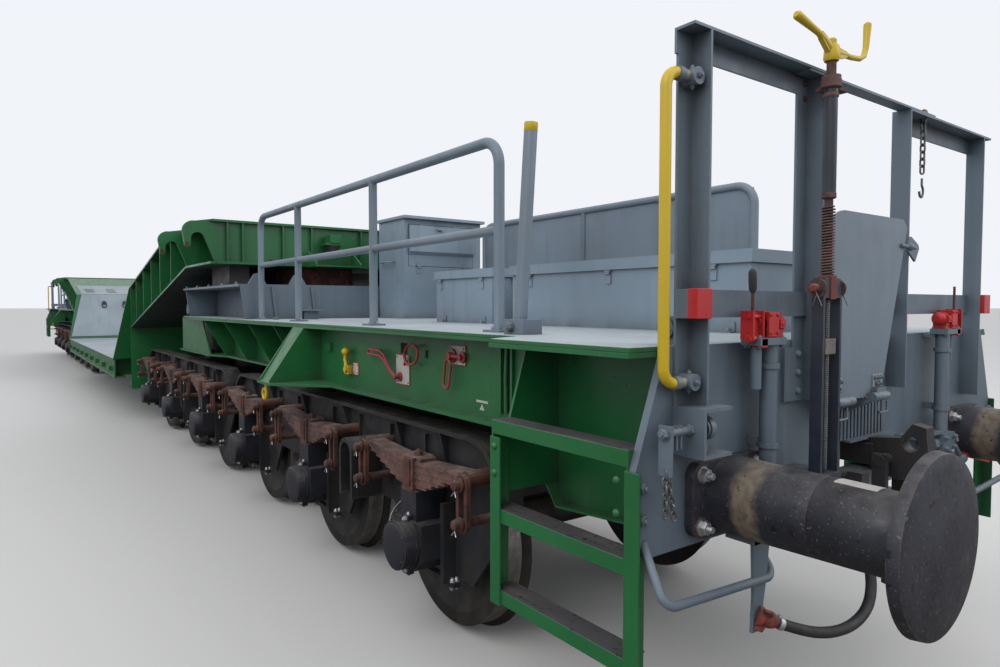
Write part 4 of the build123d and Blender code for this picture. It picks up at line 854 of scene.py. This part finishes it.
def pump(red, grey, rod, grip, y, side, foot_z, stub_r, stub_long):
    """One hand pump: pipes and flange, cylinder with its cover, and the lever in its fork."""
    out = Vector((0, side, 0))

    def along(low, high):
        return span(side, low, high, y)

    grey.rod((PUMP_X, y, foot_z), UP, 0.026, (0, FLANGE_Z[0] - foot_z), 28)
    stub = (PUMP_X, y + side * 0.069, FLANGE_Z[0])
    grey.rod(stub, -UP, stub_r, (0, stub_long), 24)
    grey.box(about(PUMP_X, 0.034), along(0.098, -0.040), FLANGE_Z)
    for z in (1.452, 1.206):
        grey.lathe((PUMP_X, y, z), UP, [(0.0255, 0), (0.032, 0), (0.032, 0.015), (0.0255, 0.015)], 28)
    grey.box((HEAD_X, PUMP_X - 0.020), along(-0.036, 0.036), (FLANGE_Z[0] - 0.014, FLANGE_Z[0]))
    grey.box((HEAD_X, PUMP_X), along(-0.012, 0.012), (1.206, 1.234))
    for dx in (-0.024, 0.024):
        for dy in (0.088, -0.030):
            grey.bolt((PUMP_X + dx, y + side * dy, FLANGE_Z[0]), -UP, 0.008, 0.3)
            grey.bolt((PUMP_X + dx, y + side * dy, FLANGE_Z[1]), UP, 0.007, 0.3)
    # cylinder with its ribbed end, the cover with four screws and the lozenge boss
    red.lathe(
        (PUMP_X, y + side * 0.055, PUMP_Z), -out,
        [(0.027, 0), (0.027, 0.098), (0.024, 0.107), (0.013, 0.114)], 32,
    )
    for rib in (0.082, 0.092):
        red.rod((PUMP_X, y + side * (0.055 - rib), PUMP_Z), -out, 0.0295, (0, 0.004), 32)
    red.box(about(PUMP_X, 0.026), along(0.055, -0.034), (FLANGE_Z[1], PUMP_Z - 0.016))
    red.box((PUMP_X - 0.028, PUMP_X + 0.034), along(0.055, 0.002), (FLANGE_Z[1] + 0.004, PUMP_Z + 0.036))
    for dy in (0.047, 0.010):
        for z in (FLANGE_Z[1] + 0.014, PUMP_Z + 0.027):
            red.bolt((PUMP_X + 0.034, y + side * dy, z), OUT, 0.005, 0)
    red.lathe((PUMP_X + 0.024, y - side * 0.020, PUMP_Z), OUT, [(0.021, 0), (0.019, 0.010)], 4)
    red.lathe((PUMP_X + 0.033, y - side * 0.020, PUMP_Z), OUT, [(0.008, 0), (0.007, 0.004)], 14)
    red.rod((PUMP_X, y + side * 0.050, PUMP_Z + 0.006), out, 0.020, (0, 0.030), 24)
    # lever block, fork and the small plate with its pin under them
    red.box((PUMP_X - 0.016, PUMP_X + 0.012), along(0.072, 0.118), (FLANGE_Z[1] + 0.006, PUMP_Z + 0.034))
    for dy in (0.066, 0.118):
        red.box(
            (PUMP_X - 0.018, PUMP_X + 0.026), along(dy, dy + 0.007), (FLANGE_Z[1] - 0.004, PUMP_Z + 0.040)
        )
    red.rod((PUMP_X + 0.012, y + side * 0.060, PUMP_Z + 0.022), out, 0.007, (0, 0.070), 12)
    red.lathe((PUMP_X + 0.012, y + side * 0.055, FLANGE_Z[1] - 0.002), out, [(0.011, 0), (0.011, 0.078)], 16)
    red.box((PUMP_X, PUMP_X + 0.034), along(0.060, 0.090), (FLANGE_Z[0] - 0.006, FLANGE_Z[1] - 0.002))
    lever = Vector((PUMP_X + 0.004, y + side * 0.096, PUMP_Z + 0.010))
    rod.sweep([lever, lever + UP * 0.090], 0.0050, 10)
    if side < 0:
        profile = [
            (0.007, 0), (0.0115, 0.010), (0.0125, 0.035), (0.0120, 0.060), (0.0075, 0.070), (0.003, 0.073)
        ]
        grip.lathe(lever + UP * 0.084, (-0.04, 0, 1), profile, 18)
    else:
        rod.sweep([lever + UP * 0.090, lever + UP * 0.126], 0.0050, 10)


COCK_Y, COCK_Z = 0.560, 1.070


def right_cock(grey):
    """Cock on a bracket under the right pump."""
    grey.box(about(PUMP_X, 0.030), about(COCK_Y, 0.056), (COCK_Z - 0.034, COCK_Z + 0.040))
    grey.box((HEAD_X, PUMP_X + 0.020), (COCK_Y - 0.285, COCK_Y), (COCK_Z + 0.040, COCK_Z + 0.052))
    grey.rod((PUMP_X, COCK_Y - 0.110, COCK_Z), (0, 1, 0), 0.020, (0, 0.220), 24)
    for dy in (-0.042, 0.042):
        for dz in (-0.020, 0.024):
            grey.bolt((PUMP_X + 0.030, COCK_Y + dy, COCK_Z + dz), OUT, 0.011)
    for dy in (-0.112, 0.085):
        grey.rod((PUMP_X, COCK_Y + dy, COCK_Z), (0, 1, 0), 0.028, (0, 0.026), 6)
    bowl = [(0.010, -0.012), (0.020, -0.006), (0.023, 0.004), (0.018, 0.016), (0.008, 0.022)]
    grey.lathe((PUMP_X + 0.010, 0.750, 0.975), OUT, bowl, 20)
    grey.sweep(
        [(PUMP_X, 0.66, 1.065), (PUMP_X + 0.004, 0.71, 1.02), (PUMP_X + 0.010, 0.75, 0.975)], 0.010, 10
    )
    for y in (0.30, 0.36):
        grey.bolt((PUMP_X - 0.01, y, COCK_Z + 0.052), UP, 0.012)


def hose_cock(iron):
    """Cock that the hose hangs from."""
    start, after = Vector(HOSE_ROUTE[0]), Vector(HOSE_ROUTE[1])
    outlet = start - (after - start).normalized() * 0.060
    iron.lathe(
        start, outlet - start,
        [(HOSE_R + 0.005, 0), (HOSE_R + 0.005, 0.020), (HOSE_R + 0.008, 0.022), (HOSE_R + 0.008, 0.060)], 6,
    )
    iron.rod((HEAD_X, outlet.y, outlet.z), OUT, 0.022, (0, start.x - HEAD_X), 24)
    iron.box(about(outlet.x, 0.026), about(outlet.y, 0.026), (outlet.z - 0.022, outlet.z + 0.032))


def parking_hook(grey):
    """Tapered blade on a bar under the headstock, which the coupling head is parked on."""
    tail, end = Vector(HOSE_ROUTE[-2]), Vector(HOSE_ROUTE[-1])
    tip = end + (end - tail).normalized() * 0.060
    blade_x = tip.x - 0.006
    grey.plate([
        (blade_x, tip.y - 0.024, tip.z - 0.050), (blade_x, tip.y + 0.010, tip.z - 0.050),
        (blade_x, tip.y + 0.026, tip.z + 0.010),
        (blade_x, tip.y + 0.046, tip.z + 0.110), (blade_x, tip.y + 0.060, 0.948),
        (blade_x, tip.y - 0.026, 0.948),
        (blade_x, tip.y - 0.018, tip.z + 0.060),
    ], (0.011, 0, 0))
    grey.box((HEAD_X, blade_x + 0.011), (tip.y - 0.020, tip.y + 0.054), (0.930, 0.948))


def fittings():
    """Pumps, cocks and the parking hook."""
    red, grey, rod, grip, iron = Form(), Form(), Form(), Form(), Form()
    for row in PUMPS:
        pump(red, grey, rod, grip, *row)
    right_cock(grey)
    hose_cock(iron)
    parking_hook(grey)
    # red lever of the right cock
    lever_x = PUMP_X + 0.012
    red.plate(
        [(lever_x, 0.74, 0.985), (lever_x, 0.74, 1.005), (lever_x, 1.05, 0.945), (lever_x, 1.05, 0.915)],
        (0.008, 0, 0),
    )
    stand_for(
        "brake_fittings",
        red.place("pump_red", RED, bevel=0.0012),
        grey.place("pump_pipes", SLATE),
        iron.place("hose_cock", IRON),
    )
    rod.place("pump_rods", LINK)
    grip.place("pump_grip", GRIP)


def make_hoses():
    """Both hoses with their clamps and the lugs and rings of the coupling head."""
    zinc, head = Form(), Form()
    tail, end = Vector(HOSE_ROUTE[-2]), Vector(HOSE_ROUTE[-1])
    along = (end - tail).normalized()
    start = Vector(HOSE_ROUTE[0])
    first = (Vector(HOSE_ROUTE[1]) - start).normalized()
    for place, way in ((end - along * 0.034, along), (start + first * 0.012, first)):
        zinc.lathe(
            place, way,
            [(HOSE_R + 0.002, 0), (HOSE_R + 0.003, 0.002), (HOSE_R + 0.003, 0.014), (HOSE_R + 0.002, 0.016)],
            24,
        )
        zinc.bolt(place + way * 0.008 + UP * (HOSE_R + 0.001), UP, 0.007, 0.3)
    clamps = zinc.place("hose_clamps", ZINC)
    side_way = along.cross(UP).normalized()
    over = side_way.cross(along).normalized()
    profile = [
        (0.020, -0.008), (0.023, 0.0), (0.027, 0.012), (0.022, 0.020), (0.022, 0.040), (0.031, 0.046),
        (0.031, 0.058), (0.026, 0.062),
    ]
    head.lathe(end, along, profile, 28)
    for turn in (0.5, 2.4, 4.4):
        way = side_way * math.cos(turn) + over * math.sin(turn)
        flat = along.cross(way)
        corner = end + along * 0.020 + way * 0.018
        head.plate([
            corner - flat * 0.007, corner + flat * 0.007,
            corner + flat * 0.005 + way * 0.026 + along * 0.010,
            corner - flat * 0.005 + way * 0.026 + along * 0.010,
        ], along * 0.032)
    heads = head.place("coupling_lugs", RED_RUST, bevel=0.002)
    for letter, sign in ENDS:
        make_hose(letter, sign)


def bridge_details():
    """Hinge straps with their bolts, wire handles and the latch of the bridge plate."""
    form, worn = Form(), Form()
    face = HEAD_X + 0.088
    for y in (-0.375, -0.087):
        worn.box((face, face + 0.004), about(y, 0.034), (1.352, 1.398))
        for dy in (-0.022, 0, 0.022):
            form.bolt((face + 0.004, y + dy, 1.386), OUT, 0.008)
        for dy in (-0.011, 0.011):
            form.bolt((face + 0.004, y + dy, 1.364), OUT, 0.008)
        half = [(0.022, 0.034, 1.300), (0.024, 0.034, 1.270), (0.026, 0.026, 1.262)]
        hoop = [(face + x, y - dy, z) for x, dy, z in half]
        hoop += [(face + x, y + dy, z) for x, dy, z in reversed(half)]
        form.sweep(hoop, 0.004)
    # latch at the free edge
    lean = math.radians(28)
    way, over = Vector((0, math.cos(lean), -math.sin(lean))), Vector((0, math.sin(lean), math.cos(lean)))
    middle = Vector((face - 0.006, 0.205, 1.862))
    outline = ((-0.042, -0.030), (0.036, -0.034), (0.040, 0.026), (0.026, 0.036), (-0.042, 0.032))
    form.plate([middle + way * a + over * b for a, b in outline], (-0.008, 0, 0))
    form.sweep([(face + 0.004, 0.075, 1.870), (face + 0.004, 0.192, 1.866)], 0.007, 10)
    form.lathe(
        (face + 0.004, 0.148, 1.868), (0, 1, 0),
        [(0.009, -0.012), (0.014, -0.006), (0.014, 0.006), (0.009, 0.012)], 16,
    )
    form.place("bridge_fixings", SLATE, "bridge_plate_{}", bevel=0.001)
    worn.place("bridge_hinge_straps", PALE, "bridge_plate_{}", bevel=0.001)


headstock_fasteners()
buffer_bolts()
hanging_chains()
handbrake_details()
fittings()
make_hoses()
bridge_details()


# Small pieces along the end frame's sides
def border(red, white, x, z, side, rim=0.004):
    """A white plate on the web, with a red rim and four rivets."""
    white.box(x, span(side, WEB_Y, WEB_Y + 0.005), z)
    edge = span(side, WEB_Y, WEB_Y + 0.004)
    for low, high in ((x[0] - rim, x[0] + 0.001), (x[1] - 0.001, x[1] + rim)):
        red.box((low, high), edge, (z[0] - rim, z[1] + rim))
    for low, high in ((z[0] - rim, z[0] + 0.001), (z[1] - 0.001, z[1] + rim)):
        red.box(x, edge, (low, high))
    for corner_x in (x[0] + 0.010, x[1] - 0.010):
        for corner_z in (z[0] + 0.010, z[1] - 0.010):
            red.rivet((corner_x, side * (WEB_Y + 0.005), corner_z), (0, side, 0), 0.005)


HANDLE_OUT = 0.034  # how far the pull handles stand out of the web


def valve_plates():
    """White plates with red pull handles, and the yellow cock, on the green web."""
    white, red, yellow, dark, strips = Form(), Form(), Form(), Form(), Form()
    for side in (-1, 1):
        face, out = side * WEB_Y, (0, side, 0)

        def deep(far):
            """Range from the web outwards."""
            return span(side, WEB_Y, WEB_Y + far)

        def web(points, far=HANDLE_OUT):
            """Points given as (x, z), or as (x, z, distance out of the web)."""
            return [(x, side * (WEB_Y + (rest[0] if rest else far)), z) for x, z, *rest in points]

        # upright gap before the step bay, with a pipe in it and a strip at each edge; a dark sheet on the web
        # paints the shade inside the gap
        dark.box((12.228, 12.292), deep(0.003), (1.205, 1.480))
        for x in (12.214, 12.292):
            strips.box((x, x + 0.014), deep(0.014), (1.190, 1.490))
        strips.sweep(web([(12.262, 1.200), (12.258, 1.350), (12.266, 1.485)], 0.010), 0.009, 10)
        # first handle with its plate, loop and slots
        border(red, white, (11.285, 11.425), (1.236, 1.386), side)
        # dark sheet: painted shade of the slot over the plate
        dark.box((11.330, 11.398), deep(0.002), (1.394, 1.450))
        for dz in (-0.013, 0.013):
            red.sweep(web([
                (11.020, 1.388 + dz), (11.150, 1.386 + dz), (11.205, 1.362 + dz * 0.9),
                (11.256, 1.312 + dz * 0.4), (11.330, 1.272 + dz * 0.2),
            ]), 0.007)
        red.sweep(web([(11.020, 1.375), (11.006, 1.388), (11.020, 1.401)]), 0.007)
        boss = [(0.024, 0.005), (0.024, 0.012), (0.013, 0.014), (0.013, 0.042), (0.009, 0.046)]
        red.lathe((11.330, face, 1.272), out, boss, 18)
        turns = [math.tau * step / 24 for step in range(24)]
        ring = [
            (11.497 + 0.068 * math.cos(a) + 0.012 * math.sin(a), 1.398 + 0.052 * math.sin(a))
            for a in turns
        ]
        red.sweep(web(ring), 0.007, closed=True)
        red.sweep(web([(11.432, 1.385), (11.400, 1.355, 0.012), (11.380, 1.340, 0.006)]), 0.008)
        # dark sheet: painted shade of a slot
        dark.box((11.590, 11.604), deep(0.006), (1.385, 1.425))
        # second one: square plate, cross block and hanging bail
        border(red, white, (11.825, 11.945), (1.375, 1.459), side)
        bosses = (
            (11.846, 1.413, [(0.032, 0.005), (0.032, 0.016), (0.017, 0.018), (0.017, 0.036)]),
            (11.930, 1.411, [(0.026, 0.005), (0.026, 0.014), (0.012, 0.016), (0.012, 0.030)]),
        )
        for x, z, profile in bosses:
            red.lathe((x, face, z), out, profile, 18)
        red.sweep(web([row[:2] for row in bosses], 0.022), 0.010, 10)
        red.loop(*web([(11.838, 1.328)]), (0.18, 0, 1), (1, 0, -0.18), 0.044, 0.024, 0.006)
        # yellow cock
        ball = [
            (0.006, -0.024), (0.018, -0.018), (0.025, -0.004), (0.024, 0.008), (0.015, 0.020), (0.004, 0.024)
        ]
        yellow.lathe(*web([(10.704, 1.371)]), UP, ball, 20)
        yellow.sweep(web([(10.704, 1.352), (10.696, 1.325), (10.706, 1.302), (10.708, 1.270)]), 0.012, 10)
        yellow.box((10.680, 10.735), deep(HANDLE_OUT), (1.236, 1.290))
        yellow.rod(*web([(10.708, 1.266)]), out, 0.020, (-0.010, 0.012), 6)
        border(red, white, (10.742, 10.812), (1.238, 1.305), side)
    white.place("valve_plates", PLATE_WHITE)
    red.place("pull_handles", FADED)
    yellow.place("yellow_cock", YELLOW, bevel=0.001)
    dark.place("web_slot_shade", SLOT_SHADE)
    strips.place("web_strips", GREEN)


STRINGER_Y = 1.273  # outer face of the steps' stringers
HOOK_Y = 1.264  # middle of the yellow hooks under the outriggers


def side_fixings():
    """Rivets on the step stringers, weld pads on the web, jacking mark, lugs and yellow hooks."""
    green, white, grey, hooks = Form(), Form(), Form(), Form()
    for side in (-1, 1):
        out = (0, side, 0)
        for z in (1.065, 1.158):
            for x in (12.610, 13.190):
                green.rivet((x, side * STRINGER_Y, z), out, 0.013)
        for x in (9.90, 10.35):
            green.box((x, x + 0.08), span(side, WEB_Y, WEB_Y + 0.02), (1.36, 1.41))
        turn = [math.radians(angle) for angle in range(0, -271, -30)]
        bend = [(10.065 + 0.032 * math.cos(a), 1.075 + 0.032 * math.sin(a)) for a in turn]
        hook = [(10.097, 1.143), (10.097, 1.11)] + bend
        hooks.sweep([(x, side * HOOK_Y, z) for x, z in hook], 0.0115, 12)
        # jacking mark: a bar over a small triangle
        plane = side * (WEB_Y + 0.0006)
        flat = span(side, WEB_Y, WEB_Y + 0.0006)
        white.box((12.028, 12.116), flat, (1.219, 1.229))
        white.plate(
            [(12.072, plane, 1.214), (12.054, plane, 1.186), (12.090, plane, 1.186)], (0, -side * 0.0006, 0)
        )
        # ring on the deck beside the step bay
        grey.box((13.155, 13.215), span(side, 1.02, 1.06), (DECK_Z, DECK_Z + 0.085))
        grey.lathe(
            (13.185, side * 1.06, DECK_Z + 0.048), out,
            [(0.030, 0), (0.030, 0.010), (0.018, 0.012), (0.018, 0.020)], 20,
        )
    grey.bolt((12.345, -1.0, DECK_Z + 0.030), NEAR, 0.020, 0.2)
    green.place("side_rivets", GREEN)
    hooks.place("outrigger_hooks", YELLOW)
    white.place("jacking_marks", PLATE_WHITE)
    grey.place("deck_lugs", SLATE)


valve_plates()
side_fixings()


# Bogie and spring details
CAP_Y = 1.070  # middle of the axle box's clamping ring
PIN_X, PIN_ZS = 0.492, (0.880, 0.710)  # spring pins, from the axle, and their heights
BAR_X, BAR_YS = 0.172, (0.893, 0.917)  # tie-bar bolts, from the axle


def bogie_details(number, centre):
    """Cap rings and bolts, earth wires, tie-bar bolts, pin cotters and frame ribs of one bogie."""
    charcoal, zinc, wire, black, rust = Form(), Form(), Form(), Form(), Form()
    for side in (-1, 1):
        out = Vector((0, side, 0))
        for x in (centre - AXLE_STEP, centre, centre + AXLE_STEP):
            axle = Vector((x, side * CAP_Y, AXLE_Z))
            # cap: clamping ring with two bolted ears, dished end and ribs
            charcoal.rod(axle, out, 0.127, (-0.012, 0.012), 32)
            charcoal.rod(axle, out, 0.122, (0.012, 0.020), 32)
            charcoal.lathe(
                axle + out * 0.058, out,
                [(0.1185, 0), (0.1165, 0.006), (0.110, 0.012), (0.098, 0.016), (0.060, 0.018)], 40,
            )
            for rise in (1, -1):
                ear = axle + Vector((0.02, 0, rise * 0.126))
                charcoal.box(about(ear.x, 0.024), about(ear.y, 0.016), about(ear.z, 0.018))
                zinc.bolt(ear + out * 0.016, out, 0.013, 0.5)
                zinc.bolt(ear + Vector((0, 0, rise * 0.018)), (0, 0, rise), 0.010, 0.3)
            for turn in (35, 145, 215, 325):
                angle = math.radians(turn)
                place = axle + Vector((0.100 * math.cos(angle), side * 0.070, 0.100 * math.sin(angle)))
                charcoal.rivet(place, out, 0.007)
            # earth wire from the cap up to the frame, on the far side of the box
            foot = axle + Vector((-0.122, 0, -0.045))
            arch = []
            for t in range(11):
                share = t / 10
                sway = math.sin(math.pi * share)
                along, rise = -0.150 * sway - 0.060 * share, 0.235 * share - 0.02 * sway
                arch.append(foot + Vector((along, -side * 0.15 * share, rise)))
            wire.sweep(arch, 0.0055)
            zinc.bolt(arch[-1], out, 0.010)
            # tie-bar bolts under the box
            for dx in (-BAR_X, BAR_X):
                for y in BAR_YS:
                    zinc.bolt((x + dx, side * y, 0.315), UP, 0.014, 0.4)
                    zinc.bolt((x + dx, side * y, 0.290), -UP, 0.014, 0.3)
            # buckle wedge, spring pins with their bright cotters
            rust.box(about(x, 0.030), span(side, 1.064, 1.070), (0.775, 0.905))
            rust.bolt((x, side * SPRING_Y, 0.912), UP, 0.022, 0.3)
            for end in (-1, 1):
                for z in PIN_ZS:
                    place = Vector((x + end * PIN_X, side * 1.084, z))
                    rust.lathe(
                        place, out,
                        [(0.031, -0.004), (0.031, 0.004), (0.023, 0.006), (0.022, 0.030), (0.017, 0.034)], 20,
                    )
                    for lean in (-0.016, 0.018):
                        bend = [(0, 0.022, 0.026), (0.002, 0.024, -0.024), (lean, 0.028, -0.046)]
                        zinc.sweep([place + Vector((dx, side * dy, dz)) for dx, dy, dz in bend], 0.0026, 6)
        # stiffening bars on the frame's side
        for x in (-1.30, -0.92, -0.52, 0.12, 0.52, 0.92, 1.30):
            black.box((centre + x, centre + x + 0.008), span(side, 0.890, 0.912), (0.80, 0.99))
    for form, name, material in (
        (charcoal, "axle_caps", CHARCOAL),
        (zinc, "bogie_bolts", ZINC),
        (wire, "earth_wires", WIRE),
        (black, "frame_bars", BLACK),
        (rust, "spring_pins", LINK),
    ):
        form.place(f"{name}_{number}", material, "bogie_{}" + number)


for bogie in BOGIE_XS.items():
    bogie_details(*bogie)


# Chests, cabinet, pedestal and deck
def latch(form, place, out, along):
    """A toggle latch: plate, lever and catch, hung over an edge."""
    place, out, along = Vector(place), Vector(out), Vector(along)
    for low, high, deep, wide in (
        (0.004, 0.028, 0.008, 0.020),
        (-0.060, -0.012, 0.006, 0.016),
        (-0.012, 0.004, 0.016, 0.014),
    ):
        corner, across, rise = place + UP * low - along * wide, along * 2 * wide, UP * (high - low)
        form.plate([corner, corner + across, corner + across + rise, corner + rise], out * deep)
    pivot = place + out * 0.014 + UP * 0.002
    form.sweep([pivot - along * 0.018, pivot + along * 0.018], 0.005)


CHEST_FRONT, LATCH_Z = -0.150, 1.815


def deck_furniture():
    """Latches, handles and feet of the chests and the cabinet."""
    form = Form()
    for x in (10.43, 10.93, 11.42, 12.05, 12.68):
        latch(form, (x, CHEST_FRONT, LATCH_Z), NEAR, OUT)
    for y in (0.02, 0.40):
        latch(form, (11.04, y, LATCH_Z), OUT, (0, 1, 0))
    # cabinet: grab handle, lock and latches
    grab = [(8.86, 0.200), (8.86, 0.165), (8.875, 0.158), (9.065, 0.158), (9.08, 0.165), (9.08, 0.200)]
    form.sweep([(x, y, 2.03) for x, y in grab], 0.007, 10)
    for y in (0.34, 0.82):
        latch(form, (9.250, y, 1.985), OUT, (0, 1, 0))
    # angle feet along the chests' lower edges
    for low, high in ((11.25, 12.86), (10.37, 11.04)):
        for x in (low + 0.08, high - 0.12):
            form.box((x, x + 0.05), (CHEST_FRONT - 0.035, CHEST_FRONT), (DECK_Z, DECK_Z + 0.006))
            form.box((x, x + 0.05), (CHEST_FRONT - 0.006, CHEST_FRONT), (DECK_Z, DECK_Z + 0.045))
            form.bolt((x + 0.025, -0.170, DECK_Z + 0.006), UP, 0.010)
    # bolts of the railing feet
    for y, feet in ((-0.900, (12.13, 10.91, 9.70, 8.85)), (0.950, (9.40, 12.15))):
        for x in feet:
            for dx in (-0.045, 0.045):
                form.bolt((x + dx, y, DECK_Z + 0.010), UP, 0.010)
    form.place("deck_furniture", LIT_SLATE)
    tip = Form()
    top, foot = Vector((12.410, -0.950, 2.360)), Vector((12.340, -0.950, 1.545))
    tip.lathe(top, foot - top, [(0.0262, -0.0025), (0.0276, 0.002), (0.0276, 0.032), (0.0262, 0.034)], 32)
    tip.place("stanchion_tip", YELLOW)
    lock = Form()
    lock.lathe((9.276, 0.545, 2.318), OUT, [(0.016, 0), (0.016, 0.010), (0.008, 0.012), (0.008, 0.024)], 16)
    lock.box((9.296, 9.302), (0.510, 0.580), (2.308, 2.322))
    lock.place("cabinet_lock", LIT_SLATE, "cabinet_flap_{}", bevel=0.001)


def pedestal_details():
    """Bolts along the pedestal's edge, the tubes beyond it and a bracket on the deck."""
    form = Form()
    low = 0.62  # inner end of the tubes
    for side in (-1, 1):
        for x in (6.85, 7.30, 7.75, 8.20, 8.65):
            form.bolt((x, side * 1.045, 1.820), UP, 0.014)
        for x in (6.28, 6.50):
            form.rod((x, side * low, 1.600), (0, side, 0), 0.045, (0, 0.30), 24)
            for dy in (0.0, 0.29):
                form.rod((x, side * (low + dy), 1.600), (0, side, 0), 0.060, (0, 0.014), 24)
    for x in (8.95, 9.05):
        form.box((x, x + 0.010), (-0.62, -0.50), (DECK_Z, DECK_Z + 0.07))
    form.box((8.93, 9.10), (-0.66, -0.46), (DECK_Z + 0.07, DECK_Z + 0.078))
    form.bolt((9.02, -0.56, DECK_Z + 0.078), UP, 0.016)
    form.box((9.00, 9.04), (-0.86, -0.82), (DECK_Z, DECK_Z + 0.02))
    form.place("pedestal_fixings", SLATE, bevel=0.001)


deck_furniture()
pedestal_details()


# Gooseneck and well
def beam_bracket():
    """Green bracket with its black cone on the cross beam, and the beam's bolts."""
    green, dark, wear = Form(), Form(), Form()
    face = 8.286
    green.box((face, face + 0.15), (-0.13, -0.03), (2.225, 2.300))
    green.box((face, face + 0.14), (-0.165, 0.005), (2.205, 2.228))
    cheek = [(0, 2.012), (0, 2.135), (0.02, 2.150), (0.22, 2.030), (0.22, 2.012)]
    for y in (-0.30, 0.14):
        green.plate([(face + x, y, z) for x, z in cheek], (0, 0.014, 0))
    green.box((face, face + 0.22), (-0.30, 0.154), (2.000, 2.012))
    dark.lathe(
        (face + 0.07, -0.08, 2.205), -UP, [(0.075, 0), (0.072, 0.012), (0.040, 0.075), (0.036, 0.095)], 24
    )
    for y in (-1.0, -0.62, 0.62, 1.0):
        green.bolt((8.25, y, 2.06), OUT, 0.016)
    worn = [(1.353, 2.172), (1.344, 2.150), (1.328, 2.1405), (1.312, 2.150), (1.318, 2.185), (1.340, 2.190)]
    for side in (-1, 1):
        for x in (7.150, 8.220):
            wear.plate([(x - 0.0008, side * y, z) for y, z in worn], (0.0316, 0, 0))
    green.place("beam_bracket", GREEN, "well_bridge", bevel=0.002)
    dark.place("beam_cone", IRON, "well_bridge")
    wear.place("hook_wear", LINK, "well_bridge")


def well_details():
    """Rings on the wall plates."""
    iron = Form()
    foot, knee = Vector((3.500, 0, 0.893)), Vector((3.760, 0, 1.890))
    wall = (knee - foot).normalized()
    out = Vector((-wall.z, 0, wall.x))
    for side in (-1, 1):
        for y in (0.62, 0.20):
            place = foot + wall * 0.83 + out * 0.012 + Vector((0, side * y, 0))
            iron.loop(place + out * 0.020 - wall * 0.055, wall, (0, 1, 0), 0.018, 0.042, 0.010)
            iron.lathe(place, out, [(0.045, 0), (0.045, 0.012), (0.022, 0.016), (0.022, 0.034)], 20)
    iron.place("wall_rings", IRON, "well_bridge")


beam_bracket()
well_details()


# Floor and light
SKY = 0.95
FLOOR_LIT, FLOOR_SEEN = (0.16, 0.15, 0.14, 1), (0.62, 0.61, 0.59, 1)
LAMPS = (
    # (name, place, what it is turned to, size, power)
    ("key", (16, -14, 16), (6, 0, 1), 14, 1300),
    ("fill", (24, 10, 12), (10, 0, 1), 12, 700),
)


def make_stage():
    """Floor that looks pale but throws little light up, soft light all round, two lamps."""
    ground = bmesh.new()
    bmesh.ops.create_grid(ground, x_segments=1, y_segments=1, size=400)
    mesh = bpy.data.meshes.new("floor")
    ground.to_mesh(mesh)
    ground.free()
    floor = show("floor", mesh)
    graph = Graph("floor")
    seen = graph.add("ShaderNodeLightPath").outputs["Is Camera Ray"]
    mesh.materials.append(graph.finish(graph.mix(seen, FLOOR_LIT, FLOOR_SEEN), 0.9))
    world = bpy.data.worlds.new("world")
    bpy.context.scene.world = world
    world.use_nodes = True
    background = world.node_tree.nodes["Background"]
    background.inputs["Color"].default_value = (0.93, 0.95, 1.0, 1)
    background.inputs["Strength"].default_value = SKY
    for name, place, aim, size, power in LAMPS:
        data = bpy.data.lights.new(name, "AREA")
        data.size = size
        data.energy = power
        lamp = show(name, data)
        lamp.location = place
        turn_to(lamp, Vector(aim) - Vector(place))
    bpy.context.scene.view_settings.view_transform = "Standard"


make_stage()
